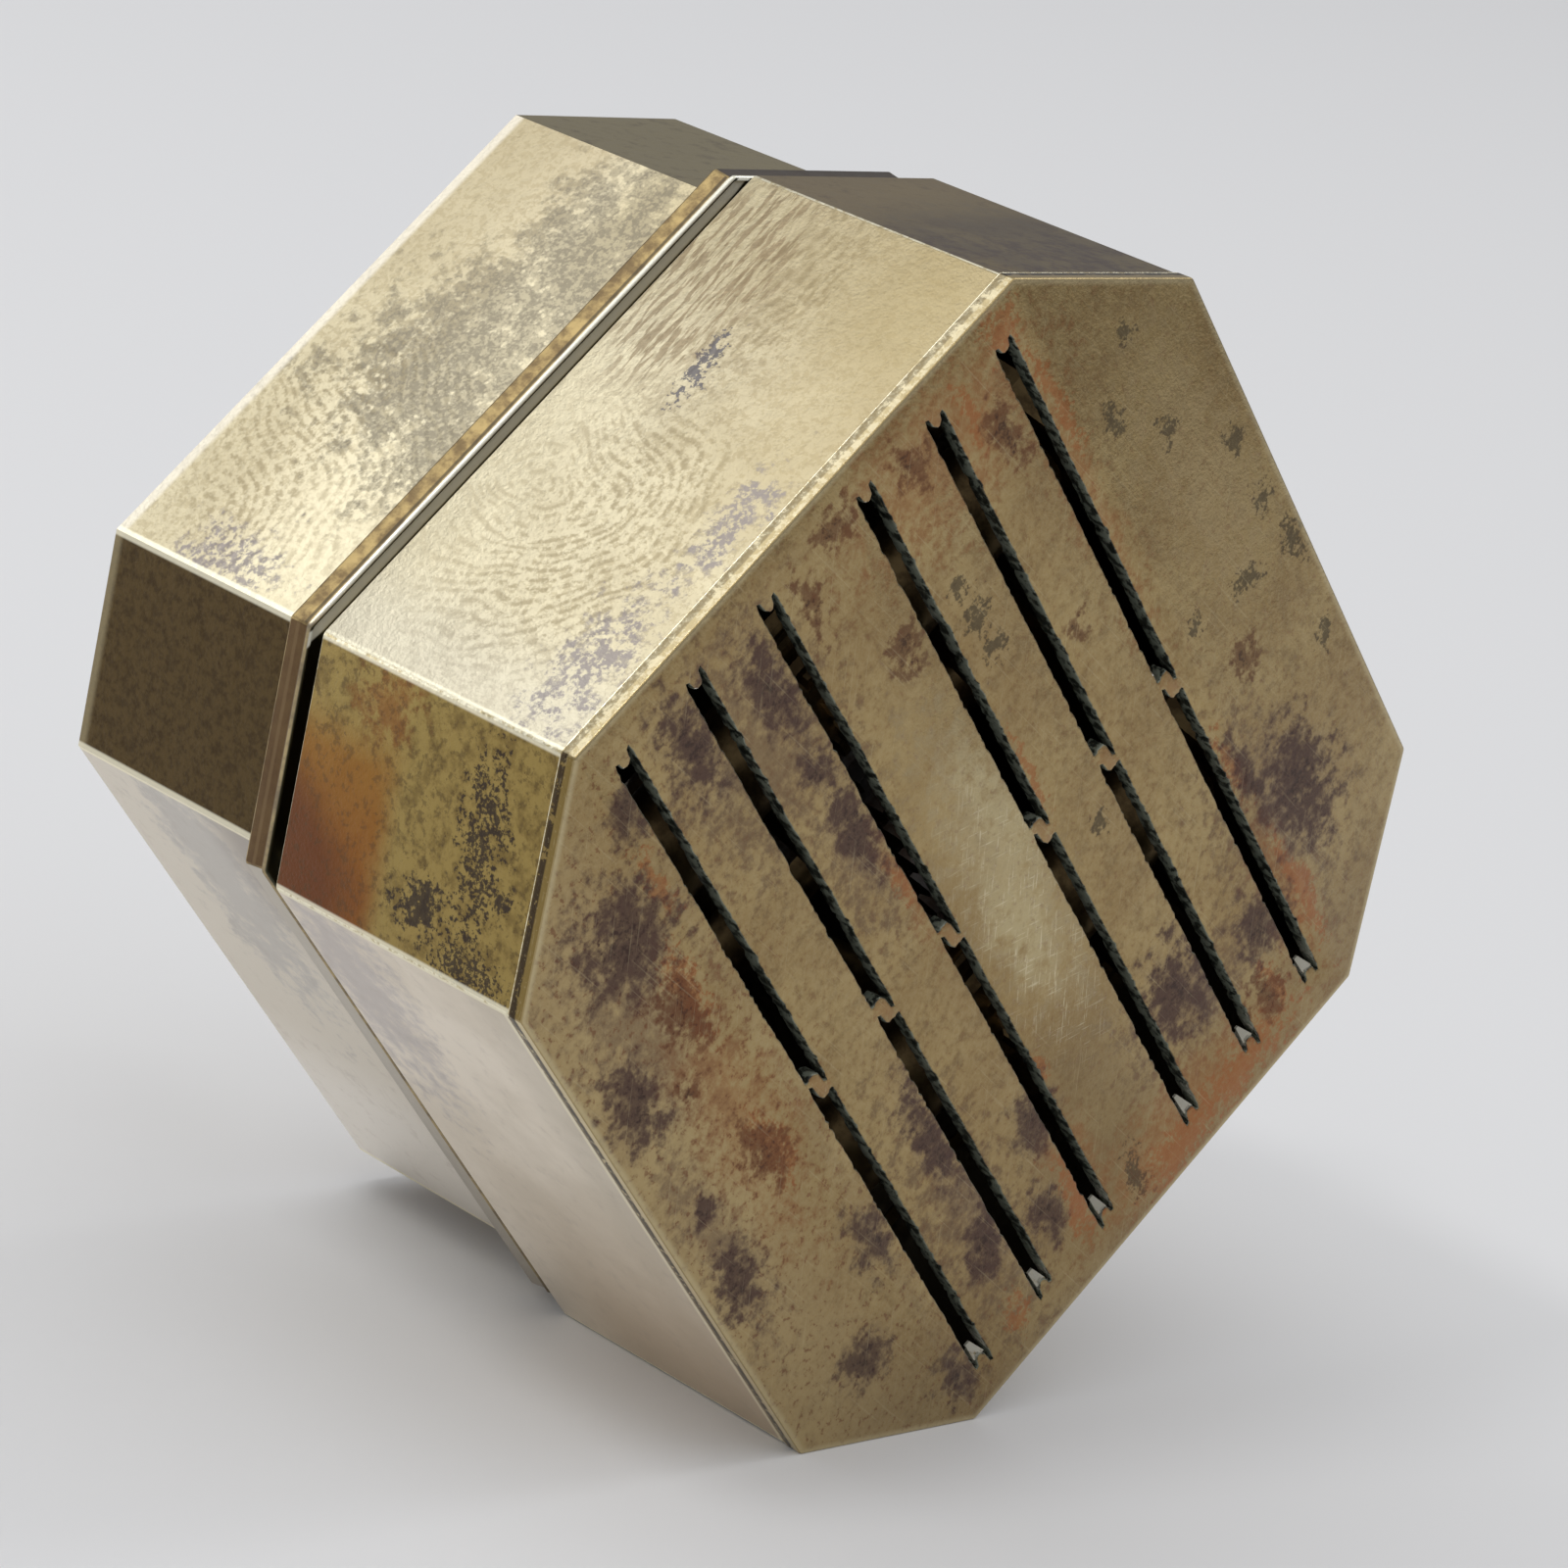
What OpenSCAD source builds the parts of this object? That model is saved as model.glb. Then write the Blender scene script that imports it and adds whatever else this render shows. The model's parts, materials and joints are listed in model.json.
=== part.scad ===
// Octagonal spring scarificator: a slotted brass box with two arbors of lancet
// blades, a cocking lever, a side release button and a depth screw.
//
// Every sub-part is drawn in the frame of use: x along the slots, y across
// them, z up from the slotted face, which lies at z = 0. in_place() then
// stands the box on one of its corner facets, slotted face toward -Y.

/* [Case] */
// Length of the box along the slots
case_len = 42; // [40:1:46]
// Width of the box across the slots
case_wid = 38.5; // [38:0.5:42]
// Length cut from each corner, measured along a side
corner_cut = 7; // [6:0.5:8]
// Depth of the cover, from the slotted face to its rim
cover_h = 13.75; // [13:0.25:14.5]
// Depth of the whole box, from the slotted face to the top plate
case_h = 27.6; // [27:0.2:30]
// Thickness of the slotted sole plate
sole_t = 0.7; // [0.5:0.1:0.8]
// Wall thickness of the cover
cover_wall_t = 1.3; // [1:0.1:1.35]
// Wall thickness of the upper case
upper_wall_t = 0.9; // [0.6:0.1:0.9]
// Thickness of the top plate
top_t = 0.9; // [0.7:0.1:1.2]
// How far the upper case is set in from the cover's sides
upper_inset = 1.42; // [1.38:0.01:1.6]
// How far the collar band is set in from the cover's sides
collar_inset = 0.36; // [0.2:0.02:0.8]
// Height of the collar band
collar_h = 1.22; // [1:0.02:1.6]
// Gap between the cover's rim and the collar band
collar_gap = 1.12; // [1.12:0.02:1.5]

/* [Slots] */
// Width of a slot
slot_w = 0.88; // [0.8:0.02:1]
// Distance from the middle of the sole to the first line of slots
slot_first = 2.78; // [2.78:0.02:3]
// Distance between neighbouring lines of slots
slot_pitch = 3.93; // [3.8:0.01:3.95]
// Length of the slots nearer the left end
slot_left_len = 18.35; // [18:0.05:18.5]
// Length of the slots nearer the right end
slot_right_len = 17.35; // [17.2:0.05:17.5]
// Metal left between the two slots of a line
bridge_w = 1.5; // [1.3:0.1:1.6]
// Reach of the saw nicks past the ends of a slot
nick_len = 0.55; // [0.3:0.05:0.6]

/* [Mechanism] */
// Distance from the mechanism's middle to each arbor
arbor_half = 9.5; // [9.4:0.05:9.6]
// Height of the arbors above the slotted face
arbor_z = 5.3; // [5.3:0.1:5.6]
// Radius that the blade tips sweep
blade_r = 9; // [8.8:0.05:9]
// Thickness of a blade
blade_t = 0.5; // [0.4:0.05:0.5]
// Lean of the lever from upright, at rest and when cocked
lever_lean = 22; // [18:1:22]
// Distance from the lever's pivot to the middle of its knob
lever_len = 24; // [22:0.5:26]
// Travel of the release button
button_travel = 1.2; // [1:0.1:1.2]

/* [Hidden] */
half_len = case_len / 2;
half_wid = case_wid / 2;
stand_h = (half_len + half_wid - corner_cut) / sqrt(2);
facet_mid = (sole_t + cover_h) / 2;
skirt_z = 8.5;
collar_z = cover_h + collar_gap;
top_z = case_h - top_t;
case_y = half_wid - upper_inset;
run_gap = 0.05;

mech_x = 0.4;
arbor_sq = 2.2;
journal_r = 1;
journal_end = 14.3;
shoulder_y = 12.3;
plate_y = 13.2;
plate_t = 1.2;
pinion_w = 2.4;
spacer_r = 2.1;
blade_hub_r = 2.6;
blade_rest = 9;
blade_ys = [for (s = [-1, 1], k = [0:2]) s * (slot_first + k * slot_pitch)];

gear_m = 0.5;
pinion_teeth = 10;
sector_teeth = 45;
pivot_reach = gear_m * (pinion_teeth + sector_teeth) / 2;
pivot_z = arbor_z + sqrt(pivot_reach * pivot_reach - arbor_half * arbor_half);
pivot_r = 1.25;
lever_t = 1.6;
lever_hub_r = 3.2;
bar_half = 1.3;
tenon_half = 0.8;
wing_r = 7;
wing_end = 19;
knob_r = 2.5;
sector_reach = 9;
pinion_dir = atan2(arbor_half, pivot_z - arbor_z);

pressure = 25;
pinion_add = 0.4;
sector_add = 0.3;
gear_ded = 0.6;
backlash = 0.045;

screw_x = 15.2;
screw_r = 1;
post_r = 1.9;
post_top = 10.5;
screw_head_r = 2.9;
frame_screw_x = 11;
frame_screw_y = 10.7;
tab_t = 1.2;
pillar_reach = 12;
pillar_z = 19;
pillar_r = 1.3;
pillar_tip = 0.2;
spring_screw_x = -12.8;
small_r = 0.8;
small_head_r = 1.5;

catch_x = 6.6;
catch_t = 1.2;
catch_y = -9.5;
catch_z = 24;
catch_pin_r = 0.6;
catch_screw_y = -3.2;
catch_screw_r = 0.6;
bush_r = 2.1;
bush_flange_r = 2.7;
rivet_r = 0.35;
rivet_drop = 0.7;
nose_z = 19.65;
button_z = 19.2;
stem_r = 1.5;
nub_r = 0.6;
cap_r = 2.4;

// ---- helpers ----------------------------------------------------------------

// From the frame of use to the standing pose
module in_place() {
    translate([0, -facet_mid, stand_h]) rotate([0, 45, 0]) rotate([-90, 0, 0]) children();
}

// The box's octagon, set in by a distance from every side
module octagon(inset) {
    a = half_len - inset;
    b = half_wid - inset;
    c = corner_cut - inset * (2 - sqrt(2));
    polygon([
        [a, b - c], [a - c, b], [c - a, b], [-a, b - c],
        [-a, c - b], [c - a, -b], [a - c, -b], [a, c - b]
    ]);
}

// A slab of the octagon between two heights
module octagon_slab(inset, z0, z1) {
    translate([0, 0, z0]) linear_extrude(z1 - z0) octagon(inset);
}

// An octagonal wall between two heights
module octagon_wall(inset, wall, z0, z1) {
    translate([0, 0, z0]) linear_extrude(z1 - z0) difference() {
        octagon(inset);
        octagon(inset + wall);
    }
}

// A flat shape drawn in x and z, given a thickness about a middle y
module flat_xz(y, t) {
    translate([0, y, 0]) rotate([90, 0, 0]) linear_extrude(t, center = true) children();
}

// A flat shape drawn in y and z, given a thickness about a middle x
module flat_yz(x, t) {
    translate([x, 0, 0]) rotate([90, 0, 90]) linear_extrude(t, center = true) children();
}

// Round bars along each axis
module rod_y(x, z, r, y0, y1) {
    translate([x, y1, z]) rotate([90, 0, 0]) cylinder(r = r, h = y1 - y0, $fn = 48);
}
module rod_x(y, z, r, x0, x1) {
    translate([x0, y, z]) rotate([0, 90, 0]) cylinder(r = r, h = x1 - x0, $fn = 48);
}
module rod_z(x, y, r, z0, z1) {
    translate([x, y, z0]) cylinder(r = r, h = z1 - z0, $fn = 48);
}

// A screw that stands along z, with a flat slotted head
module flat_screw(x, y, z_tip, z_seat, head_r, head_h, up) {
    z_head = up ? z_seat : z_seat - head_h;
    difference() {
        union() {
            rod_z(x, y, small_r, min(z_tip, z_seat), max(z_tip, z_seat));
            rod_z(x, y, head_r, z_head, z_head + head_h);
        }
        translate([x - head_r, y - 0.2, up ? z_seat + head_h - 0.35 : z_head])
            cube([2 * head_r, 0.4, 0.35]);
    }
}

// Points on an arc about the origin
function arc(r, a0, a1, n) = [for (i = [0:n]) r * [cos(a0 + (a1 - a0) * i / n), sin(a0 + (a1 - a0) * i / n)]];

// Half the angle that a tooth spans at radius r, on an involute wheel of n teeth
function involute(a) = tan(a) * 180 / PI - a;
function tooth_half(r, n) =
    let (pitch_r = gear_m * n / 2, base_r = pitch_r * cos(pressure))
    90 / n - backlash / pitch_r * 180 / PI + involute(pressure)
    - (r > base_r ? involute(acos(base_r / r)) : 0);

// Outline of one tooth whose middle is at angle mid
function tooth(n, mid, add) =
    let (
        pitch_r = gear_m * n / 2,
        radii = [for (k = [0:5]) pitch_r - gear_ded + (add + gear_ded) * k / 5]
    )
    concat(
        [for (k = [0:5]) radii[k] * [cos(mid - tooth_half(radii[k], n)), sin(mid - tooth_half(radii[k], n))]],
        [for (k = [5:-1:0]) radii[k] * [cos(mid + tooth_half(radii[k], n)), sin(mid + tooth_half(radii[k], n))]]
    );
function teeth(n, first, last, start, add) =
    [for (i = [first:last]) each tooth(n, start + i * 360 / n, add)];

// Phase that puts a gap of the pinion on the nearest sector tooth
function pinion_phase(side) =
    let (
        line = -90 + side * pinion_dir,
        pitch = 360 / sector_teeth,
        past = (line + 90 + lever_lean) / pitch,
        frac = past - floor(past)
    )
    line + 180 + (frac + 0.5) * 360 / pinion_teeth;

function arbor_x(side) = mech_x + side * arbor_half;

// ---- cover ------------------------------------------------------------------

// One slot: straight sides and two saw nicks at each end
module slot(x0, x1, y) {
    h = slot_w / 2;
    n = nick_len;
    translate([0, y]) polygon([
        [x0, -h], [x1, -h], [x1 + n, -h - 0.05], [x1 + n, 0.15 - h], [x1 + 0.1, 0],
        [x1 + n, h - 0.15], [x1 + n, h + 0.05], [x1, h], [x0, h],
        [x0 - n, h + 0.05], [x0 - n, h - 0.15], [x0 - 0.1, 0],
        [x0 - n, 0.15 - h], [x0 - n, -h - 0.05]
    ]);
}

module sole_plate() {
    color("darkkhaki") linear_extrude(sole_t) difference() {
        octagon(0);
        for (y = blade_ys) {
            slot(mech_x - bridge_w / 2 - slot_left_len, mech_x - bridge_w / 2, y);
            slot(mech_x + bridge_w / 2, mech_x + bridge_w / 2 + slot_right_len, y);
        }
    }
}

module cover_wall() {
    color("burlywood") octagon_wall(0, cover_wall_t, sole_t, cover_h);
}

// Threaded post inside the cover that the depth screw runs into
module depth_post() {
    color("goldenrod") difference() {
        rod_z(screw_x, 0, post_r, sole_t, post_top);
        rod_z(screw_x, 0, screw_r + run_gap, sole_t + 1.5, post_top + 1);
    }
}

// ---- upper case -------------------------------------------------------------

module upper_case() {
    color("burlywood") difference() {
        octagon_wall(upper_inset, upper_wall_t, skirt_z, top_z);
        rod_y(catch_x, button_z, bush_r, -half_wid, -half_wid / 2);
    }
}

module collar_band() {
    color("peru") octagon_wall(collar_inset, upper_inset - collar_inset, collar_z, collar_z + collar_h);
}

module top_plate() {
    slot_half = (case_h - pivot_z) * tan(lever_lean) + bar_half / cos(lever_lean) + 0.3;
    color("tan") difference() {
        octagon_slab(upper_inset, top_z, case_h);
        translate([mech_x - slot_half, -1.1, top_z - 1]) cube([2 * slot_half, 2.2, top_t + 2]);
        rod_z(screw_x, 0, screw_r + run_gap, top_z - 1, case_h + 1);
        for (sx = [-1, 1], sy = [-1, 1])
            rod_z(mech_x + sx * frame_screw_x, sy * frame_screw_y, small_r, top_z - 1, case_h + 1);
        rod_z(spring_screw_x, 0, small_r, top_z - 1, case_h + 1);
        rod_z(catch_x, catch_screw_y, catch_screw_r, top_z - 1, case_h + 1);
    }
}

// Outline of a side plate of the frame, with a lobe at each arbor
module frame_outline() {
    half = [
        [15.3, top_z], [15.3, 14], [arbor_half + 3, 5], [arbor_half + 1.6, 2.5],
        [arbor_half - 1.6, 2.5], [arbor_half - 3.2, 5], [arbor_half - 3.6, 8.6]
    ];
    polygon([
        for (p = half) [mech_x + p[0], p[1]],
        for (i = [len(half) - 1:-1:0]) [mech_x - half[i][0], half[i][1]]
    ]);
}

// Side plate: bearings for both arbors, the lever's pivot and two fixing tabs
module frame_plate(side) {
    color("khaki") difference() {
        union() {
            flat_xz(side * plate_y, plate_t) frame_outline();
            for (sx = [-1, 1])
                translate([mech_x + sx * frame_screw_x - 2.2, side > 0 ? 8.8 : -plate_y, top_z - tab_t])
                    cube([4.4, plate_y - 8.8, tab_t]);
        }
        for (s = [-1, 1]) {
            rod_y(arbor_x(s), arbor_z, journal_r + run_gap, -15, 15);
            rod_y(mech_x + s * pillar_reach, pillar_z, small_r, -15, 15);
            rod_z(mech_x + s * frame_screw_x, side * frame_screw_y, small_r, 20, case_h);
        }
        rod_y(mech_x, pivot_z, pivot_r, -15, 15);
        if (side < 0) rod_y(catch_x, button_z, nub_r + run_gap, -15, 0);
    }
}

module frame_screws() {
    color("slategray") for (sx = [-1, 1], sy = [-1, 1])
        flat_screw(mech_x + sx * frame_screw_x, sy * frame_screw_y, top_z - tab_t, case_h, small_head_r, 0.8, true);
}

// Two turned pillars that tie the side plates together
module frame_pillars() {
    inner = plate_y - plate_t / 2;
    color("goldenrod") for (s = [-1, 1]) {
        rod_y(mech_x + s * pillar_reach, pillar_z, pillar_r, -inner, inner);
        rod_y(mech_x + s * pillar_reach, pillar_z, small_r, -plate_y - plate_t / 2 - pillar_tip, -inner);
        rod_y(mech_x + s * pillar_reach, pillar_z, small_r, inner, plate_y + plate_t / 2 + pillar_tip);
    }
}

module lever_pivot() {
    color("silver") rod_y(mech_x, pivot_z, pivot_r, -14.2, 14.2);
}

module pivot_spacers() {
    color("goldenrod") for (s = [-1, 1]) difference() {
        rod_y(mech_x, pivot_z, 2, s > 0 ? 1.5 : -12.6, s > 0 ? 12.6 : -1.5);
        rod_y(mech_x, pivot_z, pivot_r, -15, 15);
    }
}

// Leaf spring: screwed under the top plate, its tip bearing on the lever
module mainspring() {
    t = 0.6;
    top = [[-15.2, top_z], [-10.6, top_z], [-6, 25.3], [-2.6, 23.2], [0.75, 20.4]];
    color("steelblue") difference() {
        flat_xz(0, 5) polygon(concat(top, [for (i = [4:-1:0]) [top[i][0] - (i > 1 ? 0.4 : 0), top[i][1] - t]]));
        rod_z(spring_screw_x, 0, small_r, 20, case_h);
    }
}

module mainspring_screw() {
    color("slategray") flat_screw(spring_screw_x, 0, case_h, top_z - 0.6, small_head_r, 1, false);
}

// Forked bracket under the top plate that carries the catch's pin
module catch_bracket() {
    color("khaki") difference() {
        union() {
            translate([catch_x - 2, catch_y - 1.7, top_z - 0.7]) cube([4, 3.4, 0.7]);
            for (s = [-1, 1])
                flat_yz(catch_x + s * 1.45, 1.1) polygon([
                    [catch_y - 1.4, top_z - 0.1], [catch_y + 1.4, top_z - 0.1],
                    [catch_y + 1.1, 22.8], [catch_y - 1.1, 22.8]
                ]);
        }
        rod_x(catch_y, catch_z, catch_pin_r, catch_x - 5, catch_x + 5);
    }
}

module catch_pin() {
    color("silver") rod_x(catch_y, catch_z, catch_pin_r, catch_x - 2.2, catch_x + 2.2);
}

// Folded leaf that presses the catch down
module catch_spring() {
    t = 0.3;
    color("steelblue") difference() {
        flat_yz(catch_x, 1.2 + t) polygon([
            [-2, top_z], [-6.6, top_z], [-7, top_z - t], [-7, top_z - 2 * t],
            [-3, 23.25], [-2.8, 23.5], [-6.5, top_z - 2 * t], [-6.4, top_z - t], [-2, top_z - t]
        ]);
        rod_z(catch_x, catch_screw_y, catch_screw_r, 24, case_h);
    }
}

module catch_spring_screw() {
    color("slategray") {
        rod_z(catch_x, catch_screw_y, catch_screw_r, top_z - 0.3, case_h);
        rod_z(catch_x, catch_screw_y, 1, top_z - 0.9, top_z - 0.3);
    }
}

// Flanged sleeve in the wall that guides the button's stem
module button_bush() {
    color("goldenrod") difference() {
        union() {
            rod_y(catch_x, button_z, bush_r, -case_y, -16.4);
            rod_y(catch_x, button_z, bush_flange_r, -case_y - 0.55, -case_y);
        }
        rod_y(catch_x, button_z, stem_r + run_gap, -half_wid, -15);
    }
}

// Closed coil between the frame and the button's collar
module button_spring() {
    wire = 0.16;
    coil = 1.15;
    turns = 3;
    steps = 16 * turns;
    sides = 8;
    y0 = -15.5;
    y1 = -14;
    ring = [for (i = [0:steps], k = [0:sides - 1])
        let (a = 360 * turns * i / steps, b = 360 * k / sides, r = coil + wire * cos(b))
        [catch_x + r * cos(a), y0 + (y1 - y0) * i / steps + wire * sin(b), button_z + r * sin(a)]];
    color("silver") polyhedron(ring, concat(
        [[for (k = [0:sides - 1]) k]],
        [for (i = [0:steps - 1], k = [0:sides - 1])
            [i * sides + k, (i + 1) * sides + k, (i + 1) * sides + (k + 1) % sides, i * sides + (k + 1) % sides]],
        [[for (k = [sides - 1:-1:0]) steps * sides + k]]
    ));
}

// ---- cocking lever ----------------------------------------------------------

// Lever frame: pivot at the origin, handle along +z when upright
module lever_frame() {
    translate([mech_x, 0, pivot_z]) rotate([0, lever_lean, 0]) children();
}

// Hub, toothed sector, handle and the wing that the catch rides on, in one piece
module cocking_lever() {
    bar_top = lever_len - knob_r + 0.6;
    color("slategray") lever_frame() difference() {
        union() {
            flat_xz(0, lever_t) {
                polygon(concat(
                    [[lever_hub_r, 0], [0, lever_hub_r], [-lever_hub_r, 0]],
                    teeth(sector_teeth, -sector_reach, sector_reach, -90, sector_add)
                ));
                polygon(concat([[0, 0]], arc(wing_r, wing_end, 90, 12)));
                polygon([
                    [-bar_half, 0], [bar_half, 0], [bar_half, 13], [0.9, bar_top],
                    [tenon_half, bar_top], [tenon_half, lever_len], [-tenon_half, lever_len],
                    [-tenon_half, bar_top], [-0.9, bar_top], [-bar_half, 13]
                ]);
            }
            rod_y(0, 0, lever_hub_r, -1.2, 1.2);
        }
        rod_y(0, 0, pivot_r + run_gap, -5, 5);
        rod_y(0, lever_len - rivet_drop, rivet_r, -5, 5);
    }
}

// Turned knob, slotted over the lever's tenon
module lever_knob() {
    color("goldenrod") lever_frame() difference() {
        translate([0, 0, lever_len]) rotate_extrude($fn = 48) polygon(concat(
            [[0, 0.6 - knob_r], [1.3, 0.6 - knob_r], [1.5, -1.3]],
            [for (a = [-25:10:90]) [knob_r * cos(a), 0.4 + 1.9 * sin(a)]],
            [[0, 2.3]]
        ));
        translate([-tenon_half, -lever_t / 2, lever_len - knob_r])
            cube([2 * tenon_half, lever_t, knob_r]);
        rod_y(0, lever_len - rivet_drop, rivet_r, -5, 5);
    }
}

module knob_rivet() {
    color("silver") lever_frame() rod_y(0, lever_len - rivet_drop, rivet_r, -2.1, 2.1);
}

// ---- arbors and blades ------------------------------------------------------

// Square arbor with a round journal at each end
module arbor(side) {
    color("silver") {
        translate([arbor_x(side) - arbor_sq / 2, -shoulder_y, arbor_z - arbor_sq / 2])
            cube([arbor_sq, 2 * shoulder_y, arbor_sq]);
        rod_y(arbor_x(side), arbor_z, journal_r, -journal_end, -shoulder_y);
        rod_y(arbor_x(side), arbor_z, journal_r, shoulder_y, journal_end);
    }
}

// Square way through everything that sits on an arbor
module arbor_way(side) {
    translate([arbor_x(side) - arbor_sq / 2, -20, arbor_z - arbor_sq / 2]) cube([arbor_sq, 40, arbor_sq]);
}

module pinion(side) {
    color("goldenrod") difference() {
        translate([arbor_x(side), 0, arbor_z]) flat_xz(0, pinion_w)
            polygon(teeth(pinion_teeth, 0, pinion_teeth - 1, pinion_phase(side), pinion_add));
        arbor_way(side);
    }
}

// Washers that hold the blades apart, in order from the pinion outward
module spacers(side) {
    edges = [
        [pinion_w / 2, slot_first - blade_t / 2],
        [slot_first + blade_t / 2, slot_first + slot_pitch - blade_t / 2],
        [slot_first + slot_pitch + blade_t / 2, slot_first + 2 * slot_pitch - blade_t / 2],
        [slot_first + 2 * slot_pitch + blade_t / 2, shoulder_y]
    ];
    color("darkgoldenrod") for (e = edges, s = [-1, 1]) difference() {
        rod_y(arbor_x(side), arbor_z, spacer_r, s > 0 ? e[0] : -e[1], s > 0 ? e[1] : -e[0]);
        arbor_way(side);
    }
}

// Lancet: straight back, curved cutting edge on the side that leads on release
function edge_point(t) =
    (1 - t) * (1 - t) * [blade_r - 0.05, -0.6] + 2 * t * (1 - t) * [6.8, 2.9] + t * t * [1.2, 2.3];

module blade(side, index) {
    color("lightsteelblue") difference() {
        translate([arbor_x(side), blade_ys[index - 1], arbor_z]) rotate([0, -blade_rest, 0]) flat_xz(0, blade_t) {
            circle(r = blade_hub_r, $fn = 48);
            polygon(concat([[0, 0], [1.2, -2.2]], [for (t = [0:0.125:1]) edge_point(t)]));
        }
        arbor_way(side);
    }
}

// ---- catch and release ------------------------------------------------------

// Two-armed catch: nose over the lever's wing, tail in front of the button
module catch() {
    boss_t = catch_t + 0.2;
    color("slategray") difference() {
        union() {
            rod_x(catch_y, catch_z, 1.5, catch_x - boss_t / 2, catch_x + boss_t / 2);
            flat_yz(catch_x, catch_t) polygon([
                [catch_y, catch_z + 1.2], [0.7, 21.5], [0.7, nose_z], [-0.7, nose_z],
                [-1.2, 20.6], [catch_y + 0.8, catch_z - 1.1], [-11.3, 21.6],
                [-11.3, button_z - 0.8], [-12.25, button_z - 0.8], [-12.25, 23.2]
            ]);
        }
        rod_x(catch_y, catch_z, catch_pin_r + run_gap, 0, 15);
    }
}

// Cap, stem and the thin nub that reaches the catch
module release_button() {
    color("goldenrod") {
        translate([catch_x, -20, button_z]) rotate([90, 0, 0]) rotate_extrude($fn = 48)
            polygon([[0, 0], [cap_r, 0], [cap_r, 0.7], [cap_r - 0.5, 1.2], [0, 1.35]]);
        rod_y(catch_x, button_z, stem_r, -20, -15.6);
        rod_y(catch_x, button_z, nub_r, -15.6, -12.4);
    }
}

module button_collar() {
    color("darkgoldenrod") difference() {
        rod_y(catch_x, button_z, 2.2, -16.3, -15.75);
        rod_y(catch_x, button_z, stem_r, -17, -15);
    }
}

// ---- depth screw ------------------------------------------------------------

module depth_screw() {
    seat = case_h + 0.1;
    color("silver") difference() {
        union() {
            rod_z(screw_x, 0, screw_r, 4, seat);
            rod_z(screw_x, 0, 1.7, seat, seat + 0.5);
            translate([screw_x, 0, seat + 0.5]) rotate_extrude($fn = 48)
                polygon([[0, 0], [2.6, 0], [screw_head_r, 0.3], [screw_head_r, 1.3], [2.4, 1.8], [0, 1.8]]);
        }
        translate([screw_x - 4, -0.35, seat + 1.5]) cube([8, 0.7, 1]);
    }
}

// Ring pinned on the screw below the top plate, which keeps it from lifting
module screw_retainer() {
    color("darkgoldenrod") difference() {
        rod_z(screw_x, 0, 1.9, top_z - 1.4, top_z - 0.1);
        rod_z(screw_x, 0, screw_r, top_z - 2, case_h);
    }
}

// ---- nodes ------------------------------------------------------------------

in_place() sole_plate();
in_place() cover_wall();
in_place() depth_post();
in_place() upper_case();
in_place() collar_band();
in_place() top_plate();
in_place() frame_plate(1);  // frame_plate_front
in_place() frame_plate(-1);  // frame_plate_back
in_place() frame_screws();
in_place() frame_pillars();
in_place() lever_pivot();
in_place() pivot_spacers();
in_place() mainspring();
in_place() mainspring_screw();
in_place() catch_bracket();
in_place() catch_pin();
in_place() catch_spring();
in_place() catch_spring_screw();
in_place() button_bush();
in_place() button_spring();
in_place() cocking_lever();
in_place() lever_knob();
in_place() knob_rivet();
in_place() arbor(-1);  // arbor_a
in_place() pinion(-1);  // pinion_a
in_place() spacers(-1);  // spacers_a
in_place() arbor(1);  // arbor_b
in_place() pinion(1);  // pinion_b
in_place() spacers(1);  // spacers_b
for (i = [1:6]) {
    in_place() blade(-1, i);
    in_place() blade(1, i);
}
in_place() catch();
in_place() release_button();
in_place() button_collar();
in_place() depth_screw();
in_place() screw_retainer();
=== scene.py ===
"""Looks of the octagonal spring scarificator: its shells, its aged metals, the light and the camera."""
import json
import math
import random

import bmesh
import bpy
import numpy as np
from mathutils import Matrix, Vector


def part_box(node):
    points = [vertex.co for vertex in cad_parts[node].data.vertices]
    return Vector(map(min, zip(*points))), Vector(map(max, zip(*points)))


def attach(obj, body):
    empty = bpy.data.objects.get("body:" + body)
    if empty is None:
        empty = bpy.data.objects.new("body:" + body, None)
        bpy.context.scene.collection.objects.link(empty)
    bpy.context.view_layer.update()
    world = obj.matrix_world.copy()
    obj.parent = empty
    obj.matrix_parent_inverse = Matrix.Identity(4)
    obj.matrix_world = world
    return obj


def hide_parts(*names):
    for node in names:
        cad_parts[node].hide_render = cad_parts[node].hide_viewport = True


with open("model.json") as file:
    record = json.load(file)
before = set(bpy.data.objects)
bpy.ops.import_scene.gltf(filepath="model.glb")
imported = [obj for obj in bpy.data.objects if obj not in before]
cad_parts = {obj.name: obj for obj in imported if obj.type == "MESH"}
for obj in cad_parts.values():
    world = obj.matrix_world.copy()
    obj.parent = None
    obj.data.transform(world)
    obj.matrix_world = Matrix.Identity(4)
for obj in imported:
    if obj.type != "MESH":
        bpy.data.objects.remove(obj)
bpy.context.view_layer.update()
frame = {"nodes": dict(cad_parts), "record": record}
NODES = frame["nodes"]
MM = 0.001
ROOT2 = math.sqrt(2)

# ---- the frame of use: x along the slots, y across them, z in from the slotted face ----

sole_low, sole_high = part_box("sole_plate")
USE = Matrix((
    (1 / ROOT2, -1 / ROOT2, 0, (sole_low.x + sole_high.x) / 2),
    (0, 0, 1, sole_low.y),
    (-1 / ROOT2, -1 / ROOT2, 0, (sole_low.z + sole_high.z) / 2),
    (0, 0, 0, 1),
))
TO_USE = USE.inverted()


def span(node):
    """Lowest and highest corner of a CAD node in the frame of use, in metres."""
    points = np.array([TO_USE @ v.co for v in NODES[node].data.vertices])
    return Vector(points.min(0)), Vector(points.max(0))


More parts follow.
